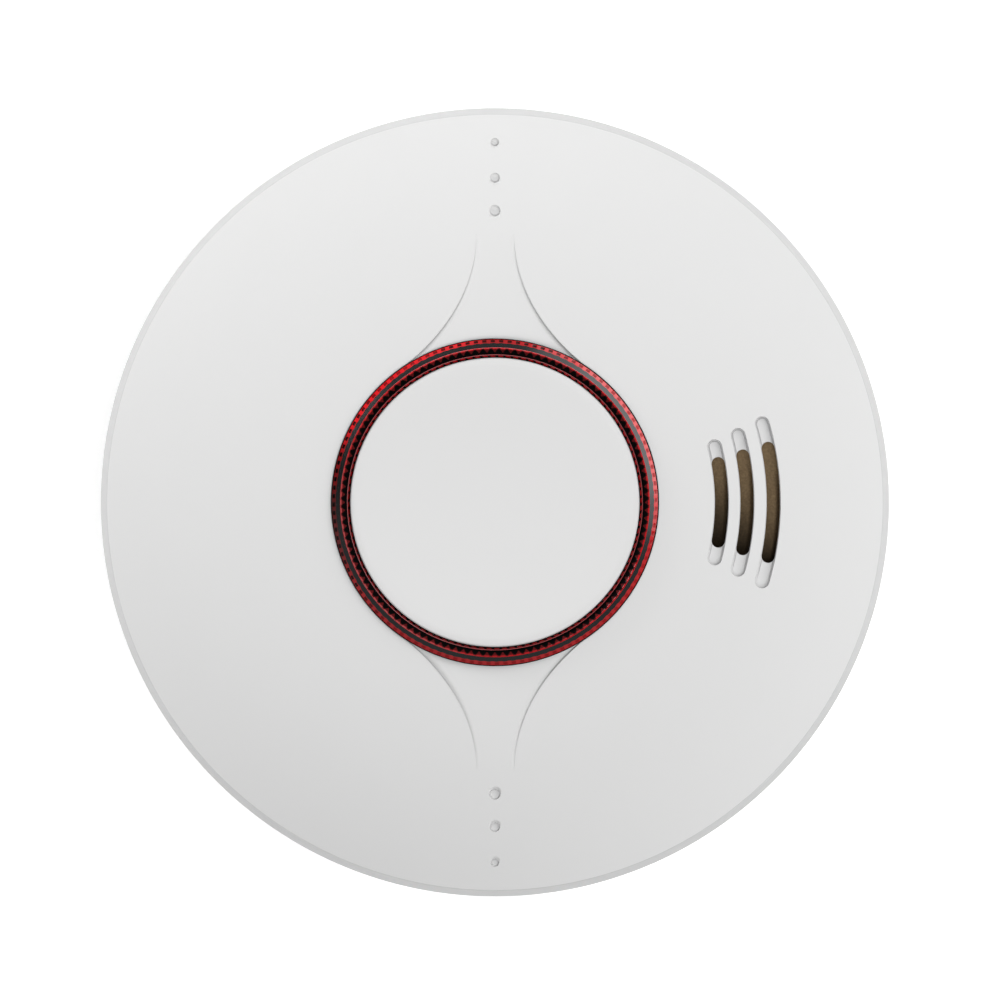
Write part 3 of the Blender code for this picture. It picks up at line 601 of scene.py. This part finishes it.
def dimple_cutter(distance, radius, side):
    """A dimple's round hole, with a small moat round its floor and a flared mouth."""
    level = dome(distance)
    floor = level - DIMPLE_DEPTHS[side]
    moat = floor - 0.05
    profile = [(0.0, floor), (radius - 0.2, floor), (radius - 0.12, moat), (radius - 0.05, moat)]
    profile += [(radius - 0.01, floor + 0.1), (radius - 0.01, level - 0.05)]
    profile += [(radius + 0.25, level + 0.21), (radius + 0.25, ABOVE_ALL), (0.0, ABOVE_ALL)]
    return turned("dimple", profile, 48, (0.0, side * distance))


def set_dome_normals(cover):
    """Gives the dome and the strips the exact normals of their curves."""
    mesh = cover.data
    near = 0.02
    step = 0.01

    def height(x, y, in_strip):
        return dome(math.hypot(x, y)) - (strip_depth(x, abs(y)) if in_strip else 0.0)

    normals = [Vector(corner.vector) for corner in mesh.corner_normals]
    for face in mesh.polygons:
        if face.normal.z < 0.8:
            continue
        centre = face.center * METRES_TO_MM
        distance = math.hypot(centre.x, centre.y)
        in_strip = dome(distance) - centre.z > 0.004 and abs(centre.y) > STRIP_ROOT - 8.0
        in_strip = in_strip and abs(centre.x) < strip_half_width(abs(centre.y)) + 0.02
        for index in face.loop_indices:
            x, y, z = mesh.vertices[mesh.loops[index].vertex_index].co * METRES_TO_MM
            inset = x
            if in_strip:
                limit = max(0.0, strip_half_width(abs(y)) - 0.02)
                inset = max(-limit, min(limit, x))
            if abs(z - height(inset, y, in_strip)) > near:
                continue
            slope_x = height(inset + step, y, in_strip) - height(inset - step, y, in_strip)
            slope_y = height(inset, y + step, in_strip) - height(inset, y - step, in_strip)
            normals[index] = Vector((-slope_x / (2 * step), -slope_y / (2 * step), 1.0)).normalized()
    mesh.normals_split_custom_set(normals)


def make_cover():
    """The cover: dome, rim, strips, sounder slots and dimples."""
    rings = 44
    outer = [DOME_RADIUS + (COVER_HOLE - DOME_RADIUS) * i / rings for i in range(rings + 1)]
    inner = [COVER_HOLE + (48.0 - COVER_HOLE) * i / 14 for i in range(15)]
    section = [(49.4, RIM_BOTTOM), (50.75, RIM_BOTTOM), (50.93, RIM_BOTTOM + 0.07)]
    section += [(RIM_RADIUS, RIM_BOTTOM + 0.25), (RIM_RADIUS - 0.04, RIM_BOTTOM + 0.6)]
    section += [(DOME_RADIUS + 0.09, DOME_EDGE - 0.22), (DOME_RADIUS + 0.06, DOME_EDGE - 0.06)]
    section += [(radius, dome(radius)) for radius in outer[:-1]]
    section += [(COVER_HOLE + 0.05, dome(COVER_HOLE)), (COVER_HOLE, dome(COVER_HOLE) - 0.05)]
    section += [(radius, dome(radius) - SHELL) for radius in inner]
    section += [(49.0, dome(48.0) - SHELL - 1.0)]
    cover = turned("cover_shell", section, FINE)

    cuts = [strip_cutter(side) for side in (1, -1)] + sounder_cutters()
    for distance, radius in DIMPLES:
        for side in (-1, 1):
            cuts.append(dimple_cutter(distance, radius, side))
    carve(cover, *cuts)
    set_dome_normals(cover)
    for face in cover.data.polygons:
        centre = face.center * METRES_TO_MM
        distance = math.hypot(centre.x, centre.y)
        # The rim's faces take the white with painted shade.
        if distance > DOME_RADIUS and centre.z < DOME_EDGE:
            face.material_index = 1
        # Faces deep in the channels and dimples take the white with painted shade of the recesses.
        elif 0.35 < dome(distance) - centre.z < RECESS_DEPTH + MOAT_DEPTH + 0.02 and distance > 27.0:
            face.material_index = 2
    return stand_for(cover, "front_cover", "detector", "white_abs", white_abs, rim_painted_shade, recess_painted_shade)


def pleat(radius, y):
    """How far the screen folds down along the slots' outer edges, except at their +Y ends."""
    share = min(1.0, max(0.0, (5.0 - y) / 5.0))
    offsets = [abs(radius - slot - SLOT_WIDTH / 2) / PLEAT_WIDTH for slot, *_ in SLOTS]
    nearest = min(1.0, *offsets)
    return PLEAT_DEPTH * share * (1.0 - nearest) ** 2


def sag(radius, y):
    """How far the screen hangs below its seat: most at -Y, and more towards the centre."""
    inner, outer = SEAT_RADII
    least, most = SCREEN_SAG
    along = min(1.0, max(0.0, 0.5 - y / (outer - inner) * 0.6))
    across = 1.0 - 0.6 * (radius - inner) / (outer - inner)
    return least + (most - least) * across * along**1.4 + pleat(radius, y)


def make_dust_screen():
    """The woven screen behind the slots. It touches its seat at +Y and hangs lower at -Y."""
    columns = 40
    rows = 110
    inner, outer = SEAT_RADII[0] + 0.2, SEAT_RADII[1] - 0.2
    half_angle = SEAT_HALF_ANGLE - 1.0
    thickness = 0.3
    bm = bmesh.new()
    layers = []
    for drop in (0.0, thickness):
        layer = []
        for row in range(rows + 1):
            radius = inner + (outer - inner) * row / rows
            line = []
            for x, y in arc(radius, -half_angle, half_angle, columns):
                line.append(bm.verts.new((x, y, dome(radius) - SEAT_DEPTH - sag(radius, y) - drop)))
            layer.append(line)
        layers.append(layer)
    for layer in layers:
        for near, far in zip(layer, layer[1:]):
            for k in range(columns):
                bm.faces.new((near[k], near[k + 1], far[k + 1], far[k]))
    upper, lower = layers
    for row in range(rows):
        for k in (0, columns):
            bm.faces.new((upper[row][k], upper[row + 1][k], lower[row + 1][k], lower[row][k]))
    for row in (0, rows):
        for k in range(columns):
            bm.faces.new((upper[row][k], upper[row][k + 1], lower[row][k + 1], lower[row][k]))
    return stand_for(add_object("dust_screen", bm), "sounder_dust_screen", "detector", "bronze_screen")


# ---- Light ring ----

GLOSS, BLOCK, WINDOW, RIDGE, DEEP, DARK, HIGHLIGHT_LINE = range(7)

# From the outer wall over the crown to the inner wall: radius, height under the crown, and what
# lies between this line and the next.
LENS_BANDS = (
    (LENS_OUTER, 3.30, "dark"),
    (LENS_OUTER, 0.64, "dark"),
    (20.96, 0.595, "rail"),
    (20.91, 0.565, "window"),
    (20.83, 0.52, "window"),
    (20.70, 0.445, "window"),
    (20.59, 0.38, "rail"),
    (20.49, 0.325, "gloss"),
    (20.38, 0.26, "gloss"),
    (20.26, 0.19, "gloss"),
    (20.13, 0.115, "gloss"),
    (20.00, 0.04, "gloss"),
    (19.93, 0.0, "ridge"),
    (19.85, 0.01, "under"),
    (19.72, 0.10, "tooth"),
    (19.60, 0.22, "tooth"),
    (19.47, 0.35, "tooth"),
    (19.32, 0.50, "dark"),
    # The thin line: red with a painted highlight.
    (19.04, 0.72, "line"),
    (18.95, 0.75, "dark"),
    (18.90, 0.82, "dash"),
    (18.82, 0.92, "dash"),
    (18.74, 1.04, "dark"),
    (LENS_INNER, 1.40, "dark"),
    (LENS_INNER, 3.40, "dark"),
    (20.30, 3.45, "dark"),
    (20.30, 4.80, "dark"),
    (22.90, 4.80, "dark"),
    (22.90, 3.80, "dark"),
    (LENS_OUTER, 3.80, "dark"),
)
PRISM_STEPS = 10
RELIEF = 0.02  # depth of a window, height of a tooth
SCALLOP = 0.035  # how far the red band's inner edge moves in and out
SCALLOPED = 20.49
BAND_SLOPE = 0.577

# Brightness of the red blocks, of the windows between them and of the ridge, by azimuth from +X: painted
# light and shade, where the lamps light the prisms unevenly round the ring. Each list starts at 180
# degrees, where the red is darkest.
BLOCK_PAINTED_LIGHT = ((180, 0.09), (195, 0.12), (212, 0.38), (270, 0.45), (315, 0.50), (345, 0.62), (0, 0.84))
BLOCK_PAINTED_LIGHT += ((30, 0.94), (60, 0.86), (75, 0.66), (91, 0.42), (103, 0.95), (150, 0.97), (163, 0.27))
WINDOW_PAINTED_LIGHT = ((180, 0.0), (210, 0.02), (235, 0.27), (300, 0.29), (340, 0.42), (30, 0.55), (55, 0.40))
WINDOW_PAINTED_LIGHT += ((72, 0.05), (105, 0.06), (118, 0.38), (135, 0.32), (148, 0.04), (165, 0.0))
RIDGE_PAINTED_LIGHT = ((180, 0.40), (270, 0.42), (330, 0.55), (0, 0.62), (60, 0.70), (120, 0.72), (150, 0.60))


def ring_red_painted_light(name, painted_light, coat):
    """Clear red plastic with painted light and shade that change round the ring."""
    made = surface(name, (0.76, 0.012, 0.018), 0.3, variation=0.1, blotch=1.2, grain_height=0.001,
                   coat=coat, specular=0.0)
    nodes = made.node_tree.nodes
    links = made.node_tree.links
    shader = nodes["Principled BSDF"]
    shader.inputs["Coat Roughness"].default_value = 0.08
    shader.inputs["Coat IOR"].default_value = 1.8
    tone = shader.inputs["Base Color"].links[0].from_socket
    place = nodes.new("ShaderNodeTexCoord")
    round_ring = nodes.new("ShaderNodeTexGradient")
    round_ring.gradient_type = "RADIAL"
    links.new(place.outputs["Object"], round_ring.inputs["Vector"])
    ramp = nodes.new("ShaderNodeValToRGB")
    stops = ramp.color_ramp.elements
    # The gradient runs from 0 at 180 degrees, through a half at +X, round to 1 at 180 degrees.
    darkest = painted_light[0][1]
    stops[0].color = (darkest, darkest, darkest, 1.0)
    stops[1].color = (darkest, darkest, darkest, 1.0)
    for azimuth, value in painted_light[1:]:
        stops.new((azimuth / 360 + 0.5) % 1.0).color = (value, value, value, 1.0)
    links.new(round_ring.outputs["Fac"], ramp.inputs["Fac"])
    product = nodes.new("ShaderNodeMix")
    product.data_type = "RGBA"
    product.blend_type = "MULTIPLY"
    product.inputs["Factor"].default_value = 1.0
    links.new(tone, product.inputs["A"])
    links.new(ramp.outputs["Color"], product.inputs["B"])
    links.new(product.outputs["Result"], shader.inputs["Base Color"])
    return made


def lens_material(kind, step, level):
    """The finish of one facet. step counts across a prism, level counts the rows of its kind."""
    if kind == "rail":
        return BLOCK
    if kind == "window":
        return WINDOW if step < 5 else BLOCK
    if kind == "under":
        return RIDGE if abs(step - 4.5) > 2 else DEEP
    if kind == "tooth":
        half = (2, 3, 4)[level]
        return DARK if abs(step - 4.5) < half else DEEP
    if kind == "dash":
        return RIDGE if (step + level) % PRISM_STEPS < 6 else DARK
    return {"gloss": GLOSS, "ridge": RIDGE, "line": HIGHLIGHT_LINE}.get(kind, DARK)


def make_lens():
    """The light ring: red rails, blocks and teeth over a black core, 120 of each round it."""
    columns = PRISMS * PRISM_STEPS
    kinds = [band[2] for band in LENS_BANDS]
    levels = [kinds[:row].count(kind) for row, kind in enumerate(kinds)]
    bm = bmesh.new()
    rings = []
    for row, (radius, drop, kind) in enumerate(LENS_BANDS):
        ring = []
        for column in range(columns):
            step = column % PRISM_STEPS
            relief = 0.0
            if kind == "window" and levels[row] and step in (1, 2, 3, 4):
                relief = -RELIEF
            if kind == "tooth" and abs(step - 4.5) < 2.5 and levels[row]:
                relief = RELIEF
            shift = 0.0
            if radius == SCALLOPED:
                shift = SCALLOP * math.cos(math.tau * (step - 7) / PRISM_STEPS)
            x, y = polar(radius - shift, 360.0 * column / columns)
            ring.append(bm.verts.new((x, y, LENS_TOP - drop + relief + shift * BAND_SLOPE)))
        rings.append(ring)
    count = len(rings)
    for row in range(count):
        below = rings[(row + 1) % count]
        for column in range(columns):
            after = (column + 1) % columns
            face = bm.faces.new((rings[row][column], rings[row][after], below[after], below[column]))
            face.material_index = lens_material(kinds[row], column % PRISM_STEPS, levels[row])
    lens = add_object("light_ring", bm)
    # The blocks, the windows and the ridge take red with painted light and shade round the ring.
    finishes = (black_gloss, ring_red_painted_light("red_block_painted_light", BLOCK_PAINTED_LIGHT, 1.0))
    finishes += (ring_red_painted_light("red_window_painted_light", WINDOW_PAINTED_LIGHT, 0.4), ring_red_painted_light("red_ridge_painted_light", RIDGE_PAINTED_LIGHT, 0.4))
    finishes += (red_deep, black_deep, red_line_painted_highlight)
    return stand_for(lens, "ring_lens", "detector", "red_lens", *finishes)


# ---- Test button ----


def make_button():
    """The dished button with a rounded rim, a skirt and the post over the switch."""
    dish_radius = 17.5
    dish_depth = 0.25
    underside = 34.6
    skirt_top = 32.5
    skirt_bottom = 31.5
    rounding = 0.35
    shares = [i / 20 for i in range(21)]
    section = [(0.0, underside)]
    section += [(dish_radius * t, BUTTON_TOP - dish_depth * (1.0 - t * t)) for t in shares]
    edge = (BUTTON_RADIUS - rounding, BUTTON_TOP - rounding)
    section += [polar(rounding, angle, edge) for angle in (75, 60, 45, 30, 15, 0)]
    section += [(BUTTON_RADIUS, skirt_top), (19.9, skirt_top), (19.9, skirt_bottom)]
    section += [(17.2, skirt_bottom), (17.2, underside)]
    button = turned("button_cap", section, 192)
    merge(button, rod("post", 1.5, button_low.z, 35.2, (14.5, 0.0)))
    return stand_for(button, "test_button", "test_button", "white_abs")


# ---- Bracket, rear housing, battery door and grille ----


def make_bracket():
    """The ceiling plate with its screw slots and holes and three hooks."""
    screw_circle = (BRACKET_RADIUS + HOOK_OUTER) / 2
    section = [(BRACKET_OPENING, 0.0), (BRACKET_RADIUS, 0.0), (BRACKET_RADIUS, BRACKET_PLATE)]
    section += [(BRACKET_OPENING, BRACKET_PLATE)]
    plate = turned("bracket_plate", rounded(section, 0.35), ROUND)
    root = BRACKET_PLATE / 2
    hook = [(HOOK_INNER, root), (HOOK_LEG, root), (HOOK_LEG, HOOK_BOTTOM)]
    hook += [(HOOK_OUTER, HOOK_BOTTOM), (HOOK_OUTER, HOOK_TOP), (HOOK_INNER, HOOK_TOP)]
    hook = rounded(hook, 0.3)
    hooks = []
    for middle in HOOK_ANGLES:
        low = middle - HOOK_HALF_ANGLE
        hooks.append(turned("hook", hook, 12, start=low, end=middle + HOOK_HALF_ANGLE))
    merge(plate, *hooks)
    cuts = []
    low = -1.0
    high = BRACKET_PLATE + 1.0
    sink = 1.3
    for middle in (0.0, 180.0):
        cuts.append(prism("screw_slot", arc_slot(screw_circle, 10.0, 4.6, middle), low, high))
        cuts.append(prism("sink", arc_slot(screw_circle, 10.0, 6.6, middle), sink, high))
    for middle in (90.0, 225.0):
        cuts.append(rod("screw_hole", 2.1, low, high, polar(screw_circle, middle)))
        cuts.append(rod("sink", 3.1, sink, high, polar(screw_circle, middle)))
    carve(plate, *cuts)
    return stand_for(soften(plate, 0.12), "mounting_bracket", "bracket", "bracket_abs")


def bayonet_slot(middle):
    """A hook's way through the back wall: wide where it enters, narrow where it locks."""
    spare = 0.8
    inner = HOOK_INNER - GAP
    low = middle - TWIST - HOOK_HALF_ANGLE - spare
    entry_end = middle - TWIST + HOOK_HALF_ANGLE + spare
    high = middle + HOOK_HALF_ANGLE + spare
    outline = arc(inner, low, high, 18)
    outline += arc(HOOK_LEG + GAP, high, entry_end, 9)
    outline += arc(HOOK_OUTER + GAP, entry_end, low, 9)
    return prism("slot", outline, BACK - 1.0, BACK + 3.0)


def make_rear_housing():
    """The base of the alarm: a shallow drum with the battery well, the bosses and the slots."""
    floor = BACK + BACK_WALL
    top = housing_high.z
    wall_top = 15.0
    outer = [(0.0, BACK), (45.2, BACK), (46.2, BACK + 0.25), (47.2, BACK + 1.1), (47.9, BACK + 2.6)]
    outer += [(48.4, BACK + 4.6), (48.8, BACK + 7.8), (HOUSING_RADIUS, wall_top - 0.4)]
    outer += [(HOUSING_RADIUS - 0.15, wall_top), (47.3, wall_top)]
    section = outer + [(46.9, 9.0), (46.1, 6.4), (44.6, floor), (0.0, floor)]
    housing = turned("housing_shell", section, FINE // 2)

    outer_x = WELL_HALF_LENGTH + WELL_WALL
    outer_y = WELL_HALF_WIDTH + WELL_WALL
    root = floor - 0.8
    additions = [box("well", (-outer_x, -outer_y, floor - 0.6), (outer_x, outer_y, WELL_TOP))]
    for angle in BOSS_ANGLES:
        boss = [(0.0, root), (3.5, root), (3.5, 7.6), (2.7, 7.9), (2.7, top), (0.0, top)]
        additions.append(turned("boss", boss, 40, polar(HOUSING_BOSS_RADIUS, angle)))
        additions.append(rod("boss", 2.4, root, WELL_TOP, polar(BOARD_BOSS_RADIUS, angle)))
    merge(housing, *additions)

    half_door = DOOR_HALF_LENGTH + GAP
    low_y = DOOR_FREE_EDGE - GAP
    ledge = BACK + DOOR_THICKNESS + GAP
    below = BACK - 1.0
    low = (-WELL_HALF_LENGTH, -WELL_HALF_WIDTH, below)
    cuts = [box("cells", low, (WELL_HALF_LENGTH, WELL_HALF_WIDTH, WELL_CEILING))]
    cuts.append(box("door", (-half_door, low_y, below), (half_door, -low_y, ledge)))
    cuts.append(box("scoop", (-5.0, low_y - 2.1, below), (5.0, low_y + 1.0, 4.3)))
    for side in (-1, 1):
        ends = sorted((side * (half_door - 0.5), side * (half_door + 1.2)))
        notch = ((ends[0], HINGE_Y - 0.8, below), (ends[1], HINGE_Y + 0.8, ledge - 0.2))
        cuts.append(box("notch", *notch))
    cuts += [bayonet_slot(middle) for middle in HOOK_ANGLES]
    for angle in BOSS_ANGLES:
        bore = [(0.0, below), (2.75, below), (2.75, SCREW_SEAT), (1.45, SCREW_SEAT)]
        bore += [(1.45, top + 1.0), (0.0, top + 1.0)]
        cuts.append(turned("bore", bore, 40, polar(HOUSING_BOSS_RADIUS, angle)))
        cuts.append(rod("bore", 1.3, 8.0, WELL_TOP + 1.0, polar(BOARD_BOSS_RADIUS, angle)))
    carve(housing, *cuts)
    return stand_for(soften(housing, 0.12), "rear_housing", "detector", "white_abs")


def make_battery_door():
    """The door plate with a round hinge edge, two pegs, a finger tab and grip lines."""
    outline = [(DOOR_FREE_EDGE, BACK)]
    outline += arc(DOOR_THICKNESS / 2, -90.0, 90.0, 20, (HINGE_Y, HINGE_Z))
    outline += [(DOOR_FREE_EDGE, BACK + DOOR_THICKNESS)]
    half = DOOR_HALF_LENGTH
    door = prism("door_plate", outline, -half, half, along="x")
    tab_low = (-4.5, DOOR_FREE_EDGE - 1.7, BACK + 0.1)
    parts = [box("tab", tab_low, (4.5, DOOR_FREE_EDGE + 0.5, BACK + 1.0))]
    for side in (-1, 1):
        low, high = sorted((side * (half - 0.5), side * (half + 1.1)))
        parts.append(rod("peg", 0.5, low, high, (HINGE_Y, HINGE_Z), 24, along="x"))
    merge(door, *parts)
    grips = []
    grip_pitch = 1.1
    grip_width = 0.45
    for i in range(5):
        y = -9.6 + grip_pitch * i
        grips.append(box("grip", (-6.0, y, BACK - 1.0), (6.0, y + grip_width, BACK + 0.3)))
    carve(door, *grips)
    return stand_for(soften(door, 0.12), "battery_door", "battery_door", "white_abs")


def make_grille():
    """The ring of upright fins between the housing and the cover, with a bevel on its edges that leaves
    them sharp.
    """
    outer = grille_high.x
    low = grille_low.z
    high = grille_high.z
    band = 1.1  # height of the solid ring above and below the fins
    share = 0.55  # of the pitch, taken up by a fin
    section = [(GRILLE_INNER, low), (outer, low), (outer, high), (GRILLE_INNER, high)]
    shell = turned("grille_ring", section, 2 * FINS)
    pitch = 360.0 / FINS
    inside = GRILLE_INNER - 1.5
    outside = GRILLE_INNER + 4.0
    bm = bmesh.new()
    for fin in range(FINS):
        start = (fin + share) * pitch
        end = (fin + 1) * pitch
        corners = [polar(inside, start), polar(outside, start), polar(outside, end), polar(inside, end)]
        lower = [bm.verts.new((x, y, low + band)) for x, y in corners]
        upper = [bm.verts.new((x, y, high - band)) for x, y in corners]
        bm.faces.new(lower)
        bm.faces.new(upper)
        for k in range(4):
            after = (k + 1) % 4
            bm.faces.new((lower[k], lower[after], upper[after], upper[k]))
    carve(shell, add_object("windows", bm))
    return stand_for(soften(shell, 0.1), "inlet_grille", "detector", "white_abs")


# ---- Stage, lights and camera ----

LAMP_DISTANCE = 1.5  # metres

# Name, azimuth, elevation, size in metres and power in watts
LAMPS = (
    ("key", 30.0, 50.0, 1.35, 5.4),
    ("upper_right", 32.0, 29.0, 2.2, 13.4),
    ("lower", 270.0, 70.0, 1.0, 10.0),
    ("upper", 120.0, 12.0, 0.6, 2.3),
    ("upper_left", 146.0, 11.0, 0.6, 10.2),
)


def make_floor():
    """A pale floor, which glows a little so that it stays nearly white."""
    size = 3.0
    bpy.ops.mesh.primitive_plane_add(size=size, location=(0.0, 0.0, cad_box[0].z - 0.0001))
    floor = bpy.context.active_object
    floor.name = "floor"
    paint = surface("floor_paint", (0.965, 0.965, 0.965), 0.8, variation=0.004, blotch=40.0)
    shader = paint.node_tree.nodes["Principled BSDF"]
    shader.inputs["Emission Color"].default_value = (1.0, 1.0, 1.0, 1.0)
    shader.inputs["Emission Strength"].default_value = 0.28
    floor.data.materials.append(paint)


def direction(azimuth, elevation):
    """A unit vector. Azimuth is counted from +X towards +Y."""
    turn, lift = math.radians(azimuth), math.radians(elevation)
    return math.cos(turn) * math.cos(lift), math.sin(turn) * math.cos(lift), math.sin(lift)


def add_light(name, azimuth, elevation, size, power):
    """A square lamp aimed at the alarm."""
    away = Vector(direction(azimuth, elevation))
    lamp = bpy.data.lights.new(name, "AREA")
    lamp.size = size
    lamp.energy = power
    obj = bpy.data.objects.new(name, lamp)
    obj.location = away * LAMP_DISTANCE
    obj.rotation_euler = (-away).to_track_quat("-Z", "Y").to_euler()
    bpy.context.scene.collection.objects.link(obj)


def make_lights():
    """Five square lamps and a weak white glow, which falls off towards a dark flag."""
    world = bpy.data.worlds.new("studio")
    bpy.context.scene.world = world
    world.use_nodes = True
    background = world.node_tree.nodes["Background"]
    background.inputs["Color"].default_value = (1.0, 1.0, 1.0, 1.0)
    flag = Vector(direction(150.0, 26.0))
    nodes = world.node_tree.nodes
    links = world.node_tree.links
    place = nodes.new("ShaderNodeTexCoord")
    nearness = nodes.new("ShaderNodeVectorMath")
    nearness.operation = "DOT_PRODUCT"
    nearness.inputs[1].default_value = flag
    links.new(place.outputs["Generated"], nearness.inputs[0])
    glow = nodes.new("ShaderNodeMapRange")
    glow.interpolation_type = "SMOOTHSTEP"
    glow.inputs["From Min"].default_value = 0.8
    glow.inputs["From Max"].default_value = 0.97
    glow.inputs["To Min"].default_value = 0.24
    glow.inputs["To Max"].default_value = 0.06
    links.new(nearness.outputs["Value"], glow.inputs["Value"])
    links.new(glow.outputs["Result"], background.inputs["Strength"])
    for lamp in LAMPS:
        add_light(*lamp)


def make_camera():
    """Looks straight down on the face from far away."""
    distance = 2.5
    frame_width = 0.1294
    offset = (0.000656, 0.0003)
    camera = bpy.data.cameras.new("camera")
    camera.sensor_width = 36.0
    camera.lens = camera.sensor_width * distance / frame_width
    camera.clip_end = 20.0
    obj = bpy.data.objects.new("camera", camera)
    obj.location = (*offset, RIM_BOTTOM * MM + distance)
    bpy.context.scene.collection.objects.link(obj)
    bpy.context.scene.camera = obj


finish_cad_nodes()
make_cover()
make_dust_screen()
make_lens()
make_button()
make_bracket()
make_rear_housing()
make_battery_door()
make_grille()
make_floor()
make_lights()
make_camera()
bpy.context.scene.view_settings.view_transform = "Standard"
